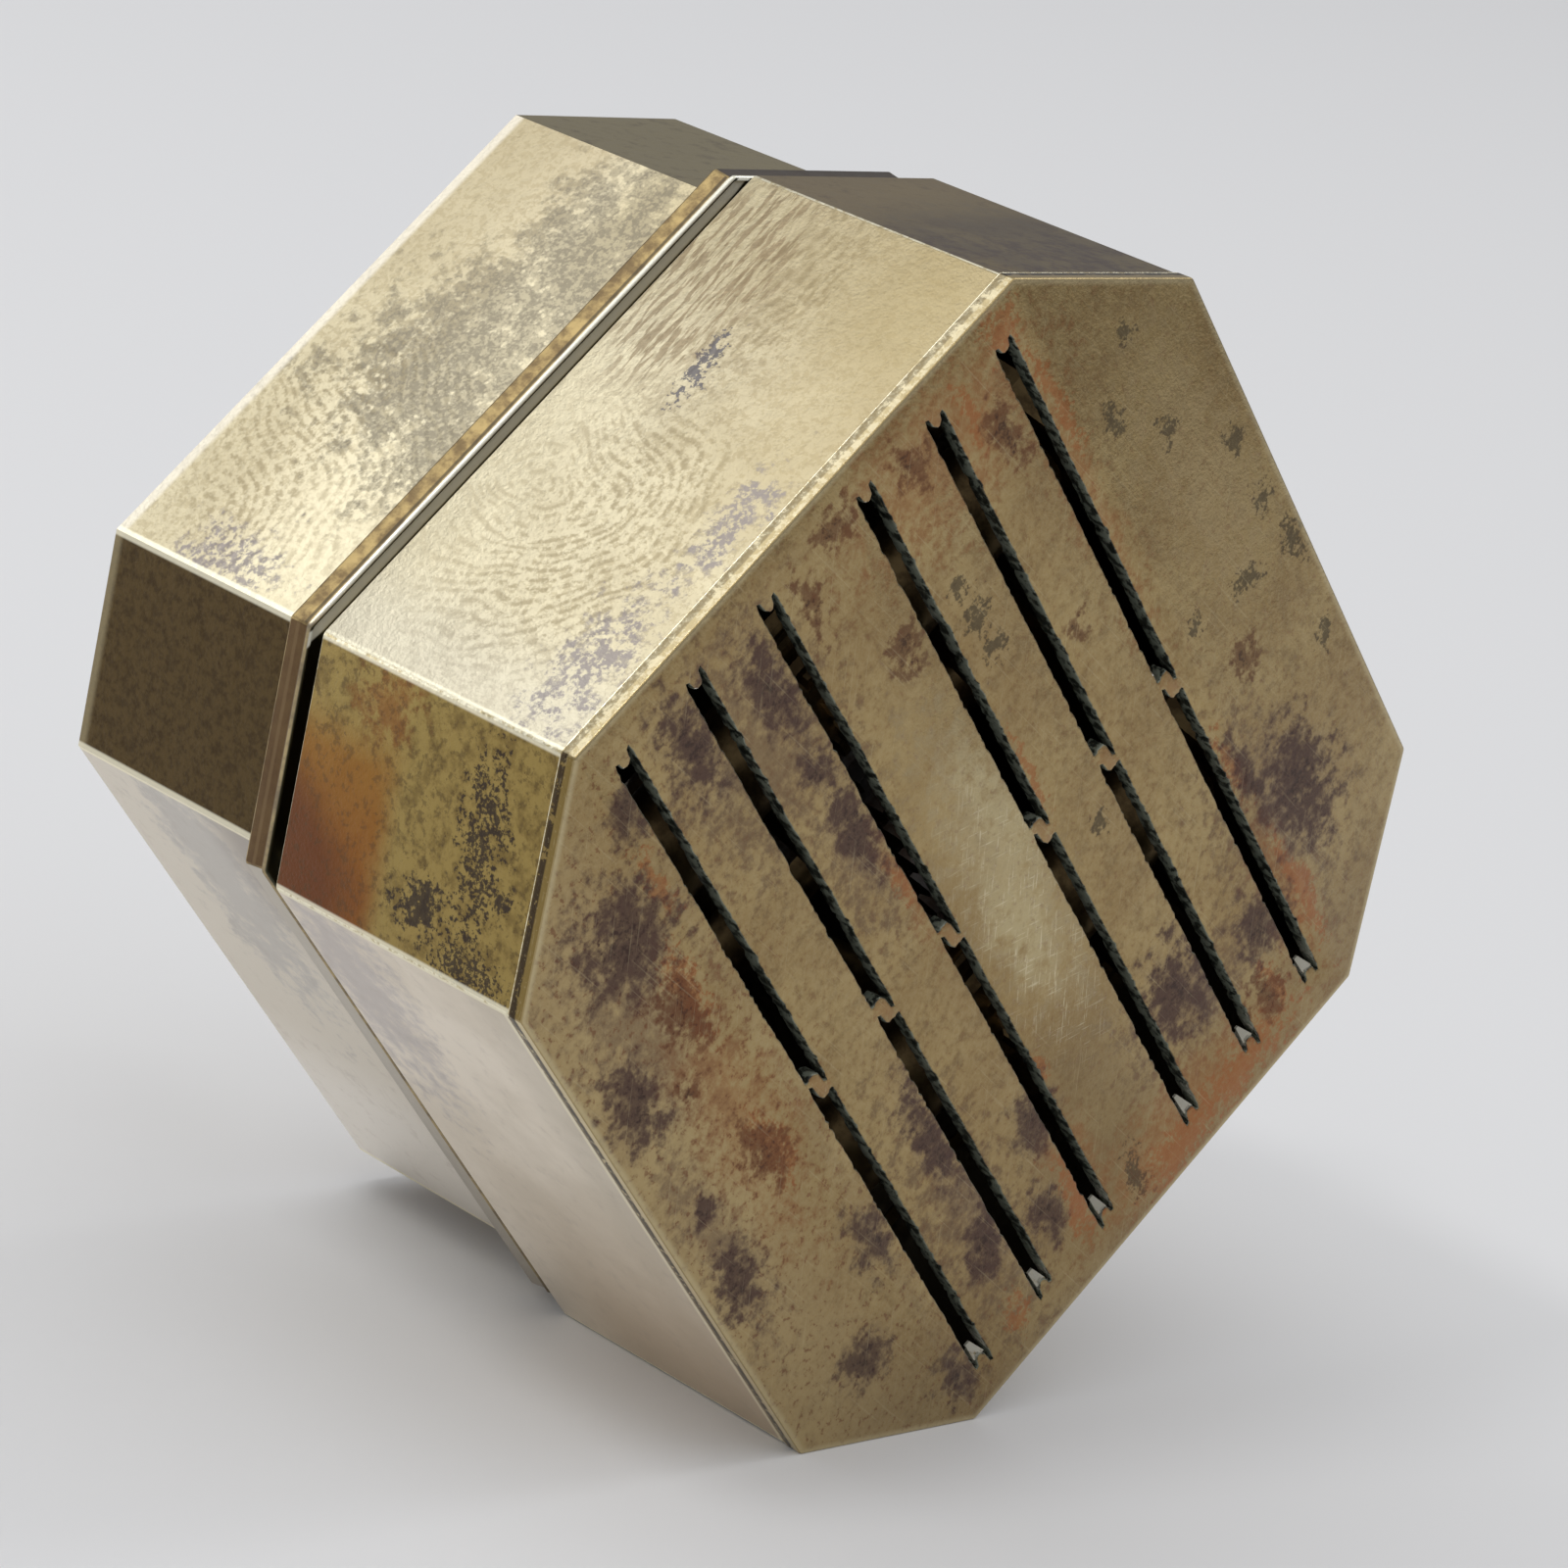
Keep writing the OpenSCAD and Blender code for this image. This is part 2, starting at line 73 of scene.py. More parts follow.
SOLE_LOW, SOLE_HIGH = span("sole_plate")
WALL_LOW, WALL_HIGH = span("cover_wall")
_, CASE_HIGH = span("upper_case")
COLLAR_LOW, COLLAR_HIGH = span("collar_band")
_, TOP_HIGH = span("top_plate")

HALF_LEN = SOLE_HIGH.x
HALF_WID = SOLE_HIGH.y
FACET_REACH = (sole_high.z - sole_low.z) / 2
WALL_T = 1.3 * MM
WALL_EDGE = 0.05 * MM
WALL_CORNER = 0.32 * MM
COLLAR_EDGE = 0.16 * MM
COLLAR_CORNER = 0.3 * MM
SOLE_CORNER = 0.25 * MM
CORNER_STEPS = 4
EDGE_STEPS = 3
SMOOTH_UP_TO = math.radians(32)
HALF_TURN = math.radians(22.5)
TURN = math.radians(45)


# ---- mesh helpers ------------------------------------------------------------

def octagon(inset, corner_radius):
    """The box's octagon, set in from every side, its corners rounded by arcs. Anticlockwise, in x and y."""
    a, b, reach = HALF_LEN - inset, HALF_WID - inset, FACET_REACH - inset
    cut_x, cut_y = reach * ROOT2 - b, reach * ROOT2 - a
    sharp = [
        (a, -cut_y), (a, cut_y), (cut_x, b), (-cut_x, b),
        (-a, cut_y), (-a, -cut_y), (-cut_x, -b), (cut_x, -b),
    ]
    back = corner_radius * math.tan(HALF_TURN)
    points = []
    for i, p in enumerate(sharp):
        p = Vector(p)
        before = (Vector(sharp[i - 1]) - p).normalized()
        after = (Vector(sharp[(i + 1) % 8]) - p).normalized()
        centre = p + (before + after).normalized() * corner_radius / math.cos(HALF_TURN)
        start = p + before * back - centre
        for k in range(CORNER_STEPS + 1):
            c, s = math.cos(TURN * k / CORNER_STEPS), math.sin(TURN * k / CORNER_STEPS)
            points.append(tuple(centre + Vector((c * start.x - s * start.y, s * start.x + c * start.y))))
    return points


def add_piece(name, mesh, body, slot, *nodes):
    """Links a mesh drawn in the frame of use. It rides on the body and stands for the CAD nodes."""
    mesh.transform(USE)
    piece = bpy.data.objects.new(name, mesh)
    bpy.context.scene.collection.objects.link(piece)
    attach(piece, body)
    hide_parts(*nodes)
    return piece


def mesh_from(name, bm):
    """A mesh of the faces in bm, all facing outward."""
    bmesh.ops.recalc_face_normals(bm, faces=bm.faces)
    mesh = bpy.data.meshes.new(name)
    bm.to_mesh(mesh)
    bm.free()
    return mesh


def shade(mesh):
    """Smooth shading that stops at sharp edges."""
    for polygon in mesh.polygons:
        polygon.use_smooth = True
    mesh.set_sharp_from_angle(angle=SMOOTH_UP_TO)


def ring_mesh(name, rows):
    """A closed wall lofted through rows of (outline, z), and from the last row to the first."""
    bm = bmesh.new()
    loops = [[bm.verts.new((x, y, z)) for x, y in outline] for outline, z in rows]
    count = len(loops[0])
    for low, high in zip(loops, loops[1:] + loops[:1]):
        for i in range(count):
            bm.faces.new((low[i], low[(i + 1) % count], high[(i + 1) % count], high[i]))
    mesh = mesh_from(name, bm)
    shade(mesh)
    return mesh


def rounded_rows(outer, inner, z0, z1, edge, corner_radius):
    """Rows of a wall's section, taken round it: both rims have their edges rounded by edge."""
    rows = []
    corners = [(outer, z0, 1, 1), (outer, z1, 1, -1), (inner, z1, -1, -1), (inner, z0, -1, 1)]
    for index, (inset, z, side, up) in enumerate(corners):
        for k in range(EDGE_STEPS + 1):
            angle = math.radians(90 * k / EDGE_STEPS)
            along = (1 - math.cos(angle), 1 - math.sin(angle))
            if index % 2:
                along = along[::-1]
            move_in, move_up = along[1] * edge, along[0] * edge
            if index in (0, 2):
                move_in, move_up = along[0] * edge, along[1] * edge
            rows.append((inset + side * move_in, z + up * move_up))
    return [(octagon(inset, corner_radius), z) for inset, z in rows]


def curve_plate(name, outlines, z0, z1, edge):
    """A flat plate with holes: the first outline is the rim, and every edge is rounded by edge."""
    curve = bpy.data.curves.new(name, "CURVE")
    curve.dimensions = "2D"
    curve.fill_mode = "BOTH"
    curve.extrude = (z1 - z0) / 2 - edge
    curve.bevel_depth = edge
    curve.bevel_resolution = 2
    curve.offset = -edge
    for outline in outlines:
        spline = curve.splines.new("POLY")
        spline.points.add(len(outline) - 1)
        for point, (x, y) in zip(spline.points, outline):
            point.co = (x, y, 0, 1)
        spline.use_cyclic_u = True
    holder = bpy.data.objects.new(name, curve)
    bpy.context.scene.collection.objects.link(holder)
    bpy.context.view_layer.update()
    depsgraph = bpy.context.evaluated_depsgraph_get()
    mesh = bpy.data.meshes.new_from_object(holder.evaluated_get(depsgraph))
    bpy.data.objects.remove(holder)
    bpy.data.curves.remove(curve)
    mesh.name = name
    mesh.transform(Matrix.Translation((0, 0, (z0 + z1) / 2)))
    bm = bmesh.new()
    bm.from_mesh(mesh)
    bmesh.ops.remove_doubles(bm, verts=bm.verts, dist=WELD)
    bmesh.ops.recalc_face_normals(bm, faces=bm.faces)
    bm.to_mesh(mesh)
    bm.free()
    shade(mesh)
    return mesh


# ---- the slots ----------------------------------------------------------------

SLOT_W = 0.88 * MM
SLOT_FIRST = 2.78 * MM
SLOT_PITCH = 3.93 * MM
BRIDGE_X = 0.4 * MM
SOLE_EDGE = 0.09 * MM
BRIDGE_W = 1.5 * MM
SLOT_ENDS = [(-18.35 * MM, 0.0), (0.0, 17.35 * MM)]
END_NICK = 0.75 * MM
BRIDGE_NICKS = (0.15 * MM, 1.0 * MM)
BURR_STEP = 0.22 * MM
SAW_SEED = 12
TAB_ROOT = 0.12 * MM
TAB_T = 0.1 * MM
WELD = 1e-7


def sawn_side(rng, x0, x1, y, outward):
    """One long side of a slot as a saw leaves it: nearly straight, with burrs and a few deeper bites."""
    count = max(2, round(abs(x1 - x0) / BURR_STEP))
    wander = [rng.uniform(-1, 1) for _ in range(5)]
    points = []
    for i in range(1, count):
        t = i / count
        slow = sum(w * math.sin(math.pi * (k + 1) * t * 2 + w * 4) for k, w in enumerate(wander)) / 5
        bite = rng.random() ** 6 * 0.09 - 0.01
        off = 0.05 * slow + bite + rng.uniform(-0.012, 0.012)
        points.append((x0 + (x1 - x0) * t, y + outward * off * MM))
    return points


def fork(rng, x, y, way, low, top):
    """The end of a slot: two fine saw nicks run past it on either side of a stub of metal."""
    h = SLOT_W / 2
    top *= rng.uniform(0.6, 1.15)
    low *= rng.uniform(0.6, 1.15)
    stub = rng.uniform(-0.05, 0.12) * MM
    points = [
        (x, y - h), (x + way * low * 0.5, y - h * 1.04), (x + way * low, y - h * 0.93),
        (x + way * low * 0.9, y - h * 0.68), (x + way * low * 0.3, y - h * 0.55),
        (x + way * stub, y - h * rng.uniform(0.1, 0.35)),
        (x + way * stub * 0.7, y + h * rng.uniform(0.1, 0.35)),
        (x + way * top * 0.3, y + h * 0.55), (x + way * top * 0.92, y + h * 0.68),
        (x + way * top, y + h * 0.92), (x + way * top * 0.5, y + h * 1.04), (x, y + h),
    ]
    return points if way > 0 else points[::-1]


def slot_outline(rng, x0, x1, y):
    """One slot: long nicks at the box's edge, and at the bridge one short and one that runs across it."""
    h = SLOT_W / 2
    short, across = BRIDGE_NICKS
    if x1 < BRIDGE_X:
        start, end = fork(rng, x0, y, -1, END_NICK, END_NICK), fork(rng, x1, y, 1, across, short)
    else:
        start, end = fork(rng, x0, y, -1, short, across), fork(rng, x1, y, 1, END_NICK, END_NICK)
    return sawn_side(rng, x0, x1, y - h, -1) + end + sawn_side(rng, x1, x0, y + h, 1) + start


def add_tabs(rng, mesh):
    """The stub left between the two nicks at each slot's far end, bent in toward the blades."""
    bm = bmesh.new()
    bm.from_mesh(mesh)
    x = BRIDGE_X + BRIDGE_W / 2 + SLOT_ENDS[1][1]
    for side in (-1, 1):
        for k in range(3):
            y = side * (SLOT_FIRST + k * SLOT_PITCH)
            root, tip = rng.uniform(0.24, 0.30) * MM, rng.uniform(0.06, 0.14) * MM
            reach, drop = rng.uniform(0.35, 0.55) * MM, rng.uniform(0.42, 0.55) * MM
            top = [
                (x + TAB_ROOT, -root, TAB_T), (x + TAB_ROOT, root, TAB_T),
                (x - reach, tip, drop), (x - reach, -tip, drop),
            ]
            verts = [bm.verts.new((px, y + py, pz + lift)) for lift in (0, TAB_T) for px, py, pz in top]
            bm.faces.new(verts[:4])
            bm.faces.new(verts[:3:-1])
            for i in range(4):
                bm.faces.new((verts[i], verts[i + 4], verts[(i + 1) % 4 + 4], verts[(i + 1) % 4]))
    bmesh.ops.recalc_face_normals(bm, faces=bm.faces)
    bm.to_mesh(mesh)
    bm.free()


def slotted_sole():
    """The plate that stands on the skin, with twelve blade slots in six rows."""
    rng = random.Random(SAW_SEED)
    outlines = [octagon(0, SOLE_CORNER)]
    for side in (-1, 1):
        for k in range(3):
            y = side * (SLOT_FIRST + k * SLOT_PITCH)
            for start, end in SLOT_ENDS:
                shift = BRIDGE_X + math.copysign(BRIDGE_W / 2, start + end)
                outlines.append(slot_outline(rng, shift + start, shift + end, y))
    mesh = curve_plate("slotted_sole", outlines, SOLE_LOW.z, SOLE_HIGH.z + SOLE_EDGE, SOLE_EDGE)
    add_tabs(rng, mesh)
    return add_piece("slotted_sole", mesh, "cover", "sole_brass", "sole_plate")


# ---- the shells ----------------------------------------------------------------

def cover_shell():
    """The wall of the sliding cover."""
    rows = rounded_rows(0, WALL_T, WALL_LOW.z, WALL_HIGH.z, WALL_EDGE, WALL_CORNER)
    return add_piece("cover_shell", ring_mesh("cover_shell", rows), "cover", "cover_brass", "cover_wall")


def stop_collar():
    """The band round the case that stops the cover."""
    outer = HALF_LEN - COLLAR_HIGH.x
    inner = HALF_LEN - CASE_HIGH.x
    rows = rounded_rows(outer, inner, COLLAR_LOW.z, COLLAR_HIGH.z, COLLAR_EDGE, COLLAR_CORNER)
    return add_piece("stop_collar", ring_mesh("stop_collar", rows), "case", "dark_brass", "collar_band")


# ---- build ----------------------------------------------------------------------

sole = slotted_sole()
cover = cover_shell()
collar = stop_collar()


# ---- materials -------------------------------------------------------------------

COVER_END = 14.0
CASE_START = 14.3
END_X = -21
SIDE_Y = -19
THROUGH = 60


def on_face(x, y, reach_x, reach_y):
    """Centre and radii in millimetres of an oval on the slotted face. It runs right through the box."""
    return (x, y, 0), (reach_x, reach_y, THROUGH)


def on_end(y, z, reach_y, reach_z):
    """Centre and radii of an oval on the end facet."""
    return (END_X, y, z), (THROUGH, reach_y, reach_z)


def on_side(x, z, reach_x, reach_z):
    """Centre and radii of an oval on the lower side."""
    return (x, SIDE_Y, z), (reach_x, THROUGH, reach_z)


class Finish:
    """One procedural material. Its points p are in millimetres in the frame of use, with y turned to
    point up on the slotted face, so p is (along the slots, across them, in from the slotted face)."""

    def __init__(self, name):
        self.material = bpy.data.materials.new(name)
        self.material.use_nodes = True
        self.tree = self.material.node_tree
        self.bsdf = self.tree.nodes["Principled BSDF"]
        source = self.add("ShaderNodeTexCoord")
        self.p = self.to_use(source.outputs["Object"], USE.translation, 1 / MM)
        self.normal = self.to_use(source.outputs["Normal"], (0, 0, 0), 1)

    def add(self, kind, inputs=None, **settings):
        node = self.tree.nodes.new(kind)
        for key, value in settings.items():
            setattr(node, key, value)
        for key, value in (inputs or {}).items():
            self.feed(node.inputs[key], value)
        return node

    def feed(self, socket, value):
        if isinstance(value, bpy.types.NodeSocket):
            self.tree.links.new(value, socket)
        elif isinstance(value, (tuple, list)) and socket.type == "RGBA":
            socket.default_value = (*value[:3], 1)
        else:
            socket.default_value = value

    def to_use(self, vector, origin, scale):
        local = self.vec("SUBTRACT", vector, tuple(origin))
        axes = [USE.col[0].xyz * scale, USE.col[1].xyz * -scale, USE.col[2].xyz * scale]
        parts = [self.vec("DOT_PRODUCT", local, tuple(axis), out="Value") for axis in axes]
        return self.add("ShaderNodeCombineXYZ", {0: parts[0], 1: parts[1], 2: parts[2]}).outputs[0]

    def vec(self, operation, a, b=None, out="Vector", scale=None):
        inputs = {0: a}
        if b is not None:
            inputs[1] = b
        if scale is not None:
            inputs["Scale"] = scale
        return self.add("ShaderNodeVectorMath", inputs, operation=operation).outputs[out]

    def calc(self, operation, *values):
        return self.add("ShaderNodeMath", dict(enumerate(values)), operation=operation).outputs[0]

    def times(self, *values):
        result = values[0]
        for value in values[1:]:
            result = self.calc("MULTIPLY", result, value)
        return result

    def most(self, *values):
        result = values[0]
        for value in values[1:]:
            result = self.calc("MAXIMUM", result, value)
        return result

    def band(self, value, zero_at, one_at):
        """0 at one value and 1 at another, easing between them, whichever is the larger."""
        rising = zero_at < one_at
        inputs = {
            "Value": value, "From Min": min(zero_at, one_at), "From Max": max(zero_at, one_at),
            "To Min": 0.0 if rising else 1.0, "To Max": 1.0 if rising else 0.0,
        }
        return self.add("ShaderNodeMapRange", inputs, interpolation_type="SMOOTHSTEP").outputs[0]

    def mix(self, factor, a, b):
        return self.add("ShaderNodeMix", {0: factor, 6: a, 7: b}, data_type="RGBA").outputs[2]

    def blend(self, factor, a, b):
        return self.add("ShaderNodeMix", {0: factor, 2: a, 3: b}, data_type="FLOAT").outputs[0]

    def noise(self, scale, detail=4, rough=0.55, at=None, out="Fac"):
        place = self.p if at is None else at
        inputs = {"Vector": place, "Scale": scale, "Detail": detail, "Roughness": rough}
        return self.add("ShaderNodeTexNoise", inputs).outputs[out]

    def facing(self, direction):
        """1 on the facet that faces this way in the frame of use, with y up."""
        amount = self.vec("DOT_PRODUCT", self.normal, tuple(Vector(direction).normalized()), out="Value")
        return self.band(amount, 0.955, 0.985)

    def gap(self, at, centre, radii):
        """How far a point is from the centre, in radii: 1 on the edge of the oval."""
        away = self.vec("DIVIDE", self.vec("SUBTRACT", at, centre), radii)
        return self.vec("LENGTH", away, out="Value")

    def inside(self, at, ovals):
        """1 at the middle of the nearest of some ovals, 0 on its edge and less outside.
        Each oval is (x, y, x radius, y radius) on the slotted face."""
        return self.most(*[
            self.calc("SUBTRACT", 1.0, self.gap(at, *on_face(*oval))) for oval in ovals
        ])

    def stain(self, nearness, edge, threshold=0.62, soft=0.07, pull=0.32):
        """A stain whose outline breaks up into specks where the edge noise says so."""
        value = self.calc("MULTIPLY_ADD", nearness, pull, edge)
        return self.band(value, threshold - soft, threshold + soft)

    def along(self, axis, at=None):
        return self.vec("DOT_PRODUCT", self.p if at is None else at, axis, out="Value")

    def streaks(self, turn, fine, length, low, high):
        """Thin scratches that run one way in the plane of the slotted face."""
        at = self.stretched((0, 0, math.radians(turn)), (length, 1 / fine, 1 / fine))
        return self.band(self.noise(1, 2, 0.5, at=at), low, high)

    def stretched(self, rotation, scale):
        """The points turned and stretched, for noise that runs one way."""
        inputs = {"Vector": self.p, "Rotation": rotation, "Scale": scale}
        return self.add("ShaderNodeMapping", inputs, vector_type="TEXTURE").outputs[0]

    def bump(self, height):
        """Relief from a height in millimetres."""
        return self.add("ShaderNodeBump", {"Height": height, "Strength": 1.0, "Distance": MM}).outputs[0]

    def finish(self, colour, metal, rough, normal):
        self.feed(self.bsdf.inputs["Base Color"], colour)
        self.feed(self.bsdf.inputs["Metallic"], metal)
        self.feed(self.bsdf.inputs["Roughness"], rough)
        self.feed(self.bsdf.inputs["Normal"], normal)
        return self.material


END = (-1, 0, 0)
SIDE = (0, -1, 0)
LOW_CORNER = (-1, -1, 0)
TOP_CORNER = (-1, 1, 0)
SLOTTED = (0, 0, -1)

PALE = (0.60, 0.51, 0.31)
KHAKI = (0.405, 0.297, 0.137)
BROWN_KHAKI = (0.33, 0.230, 0.103)
PURPLE = (0.082, 0.046, 0.046)
LILAC = (0.26, 0.235, 0.25)
SLATE = (0.085, 0.072, 0.05)
BLACK = (0.04, 0.03, 0.028)
COPPER = (0.36, 0.135, 0.05)
RUST = (0.20, 0.085, 0.045)
GLINT = (0.86, 0.82, 0.72)
# painted highlight: a bright line laid along the edges where two facets meet
ARRIS_HIGHLIGHT = (1.0, 0.94, 0.72)

PURPLE_STAINS = [
    (-15.9, -4.3, 2.9, 1.3), (-17.0, -8.2, 2.9, 1.6), (-7.6, -4.0, 3.4, 1.1), (-11.4, -4.2, 1.0, 0.9),
    (-12.9, -14.2, 2.9, 2.6), (-6.7, -17.4, 2.3, 1.7), (4.3, -17.5, 2.6, 1.4), (0.1, -17.3, 0.9, 0.9),
    (10.2, 13.9, 3.6, 2.4), (14.3, 9.6, 1.9, 1.8), (13.0, 4.9, 2.8, 2.0), (11.5, -3.5, 1.9, 1.2),
    (7.6, -7.8, 4.0, 1.0), (14.1, -7.9, 2.1, 1.3), (18.2, -11.8, 1.5, 1.3), (8.6, -12.2, 2.0, 1.2),
    (16.0, -5.3, 1.8, 1.0), (-17.2, -11.7, 1.6, 1.2), (7.8, 11.9, 3.4, 0.6), (13.2, -15.0, 1.6, 1.4),
]
RED_STAINS = [
    (-18.5, 4.8, 1.7, 1.0), (-19.2, 1.0, 1.2, 1.3), (-17.4, -1.4, 1.8, 0.7), (-12.0, 1.2, 1.6, 0.9),
    (2.5, 14.2, 1.1, 1.0), (-15.9, 9.2, 2.0, 0.9), (-6.0, 8.2, 0.9, 0.7), (-8.2, -13.9, 2.6, 1.3),
    (0.4, -14.0, 2.6, 1.2), (-5.1, -15.2, 0.7, 0.6), (17.6, 8.3, 1.8, 1.4),
]
GREY_RINGS = [
    (-10.6, 4.7, 1.0, 0.9), (-8.6, 4.7, 0.8, 0.9), (-12.3, 4.3, 0.7, 0.6), (2.6, 5.4, 0.6, 0.6),
    (-6.4, 18.0, 1.0, 0.7), (-2.9, 17.8, 0.8, 0.7), (0.2, 18.6, 1.3, 0.7), (5.3, 18.0, 0.8, 0.6),
    (-14.8, 15.3, 0.7, 0.5), (-9.5, 15.3, 0.9, 0.6), (-0.4, 15.8, 1.0, 0.8), (-0.8, 12.9, 0.8, 0.4),
    (-12.0, 13.3, 0.8, 0.6), (18.6, -0.6, 1.6, 0.7),
]
COPPER_STAINS = [
    (19.2, 6.0, 1.3, 3.6), (19.6, 1.6, 1.5, 3.0), (14.6, 11.9, 4.4, 0.6), (16.6, -3.6, 2.8, 0.9),
    (-19.4, 10.9, 1.9, 0.9), (-15.0, 11.7, 3.6, 0.5), (-3.6, -3.6, 1.5, 0.6), (-8.6, -13.4, 2.4, 0.9),
    (0.6, -13.7, 2.4, 0.8), (6.4, 11.6, 2.4, 0.45), (-2.4, 3.4, 2.6, 0.4), (18.6, -8.4, 1.2, 0.8),
    (-18.0, 8.0, 1.8, 0.5), (-13.6, -12.0, 2.0, 0.5), (9.6, -2.6, 1.4, 0.6), (17.4, 8.9, 2.2, 0.7),
]
PURPLE_HAZE = [
    (-14.5, -6.0, 6.5, 4.5), (-9.5, -15.5, 7.5, 3.5), (10.5, 12.5, 6.5, 3.5), (12.0, -8.0, 8.5, 2.6),
    (14.0, 5.5, 3.2, 4.5), (2.0, -17.5, 7.0, 1.6), (-6.5, -4.5, 5.0, 1.8),
]
RED_HAZE = [
    (-17.5, 6.5, 4.0, 6.5), (18.5, 3.0, 2.8, 8.0), (-2.0, -14.0, 9.0, 2.4), (15.5, -3.0, 4.5, 1.5),
    (14.0, 11.2, 5.5, 1.5), (-4.0, -3.4, 4.5, 0.8), (-10.0, 10.8, 8.0, 1.2),
]
SLOT_ROWS = [side * (SLOT_FIRST + k * SLOT_PITCH) / MM for side in (-1, 1) for k in range(3)]
BRIDGES = [(BRIDGE_X / MM, y, 1.3, 0.55) for y in SLOT_ROWS]
BRIDGE_GLINTS = [(-0.75, y - 0.25, 0.32, 0.26) for y in SLOT_ROWS]
END_GLINTS = [(18.15, y, 0.65, 0.45) for y in SLOT_ROWS]
LEFT_GLINTS = [(-18.75, y - 0.3, 0.24, 0.2) for y in SLOT_ROWS[1:4]]


class Shell(Finish):
    """Aged brass of the box, with the noise fields that its facets share."""

    def __init__(self, name):
        super().__init__(name)
        self.cloud = self.noise(0.17, 4, 0.6)
        self.mottle = self.noise(1.15, 6, 0.66)
        self.cells = self.noise(2.6, 4, 0.62)
        self.fine = self.noise(6.5, 3, 0.6)
        self.broken = self.calc("MULTIPLY_ADD", self.cells, 0.6, self.calc("SUBTRACT", self.mottle, 0.3))
        self.gritty = self.calc("MULTIPLY_ADD", self.fine, 0.6, self.calc("SUBTRACT", self.cells, 0.3))
        push = self.vec("SUBTRACT", self.noise(0.5, 3, 0.6, out="Color"), (0.5, 0.5, 0.5))
        self.near = self.vec("ADD", self.p, self.vec("SCALE", push, scale=2.4))
        self.x = self.along((1, 0, 0))
        self.y = self.along((0, 1, 0))
        self.depth = self.along((0, 0, 1))
        self.near_x = self.along((1, 0, 0), self.near)
        self.near_y = self.along((0, 1, 0), self.near)
        self.measure_reach()

    def measure_reach(self):
        """reach is how far out a point lies, 0 on the box's widest facets and less than 0 inside them.
        arris is 1 along the edges where two facets meet."""
        away = self.vec("ABSOLUTE", self.p)
        slant = self.calc("SUBTRACT", self.along((1 / ROOT2, 1 / ROOT2, 0), away), FACET_REACH / MM)
        ahead = self.calc("SUBTRACT", self.along((1, 0, 0), away), HALF_LEN / MM)
        aside = self.calc("SUBTRACT", self.along((0, 1, 0), away), HALF_WID / MM)
        self.reach = self.most(slant, ahead, aside)
        second = self.most(
            self.calc("MINIMUM", slant, ahead),
            self.calc("MINIMUM", slant, aside),
            self.calc("MINIMUM", ahead, aside),
        )
        self.arris = self.band(self.calc("SUBTRACT", self.reach, second), 0.18, 0.10)

    def patch(self, oval, edge, threshold=0.62, soft=0.07):
        """A stain in one oval, whose place is pushed about by the shell's slow noise."""
        near = self.calc("SUBTRACT", 1.0, self.gap(self.near, *oval))
        return self.stain(near, edge, threshold, soft)

    def spot(self, oval, zero_at, one_at):
        """1 in the middle of an oval, easing to 0. Both limits are in radii."""
        return self.band(self.gap(self.near, *oval), zero_at, one_at)


FACE_DULL = (0.22, 0.142, 0.063)
FACE_GRIME = (0.17, 0.115, 0.058)
FACE_WORN = (0.52, 0.42, 0.24)
FACE_BARE = (0.52, 0.40, 0.21)
FACE_DIM = (0.17, 0.115, 0.06)
FACE_HIGHLIGHT = (0.60, 0.51, 0.29)
FACE_SCUFF = (0.80, 0.72, 0.50)
FACE_DUSK = (0.15, 0.095, 0.07)
FACE_BLUSH = (0.33, 0.145, 0.055)
FACE_RED = (0.15, 0.06, 0.035)
FACE_UNDER = (0.125, 0.078, 0.062)
FACE_BRIDGE = (0.33, 0.19, 0.085)


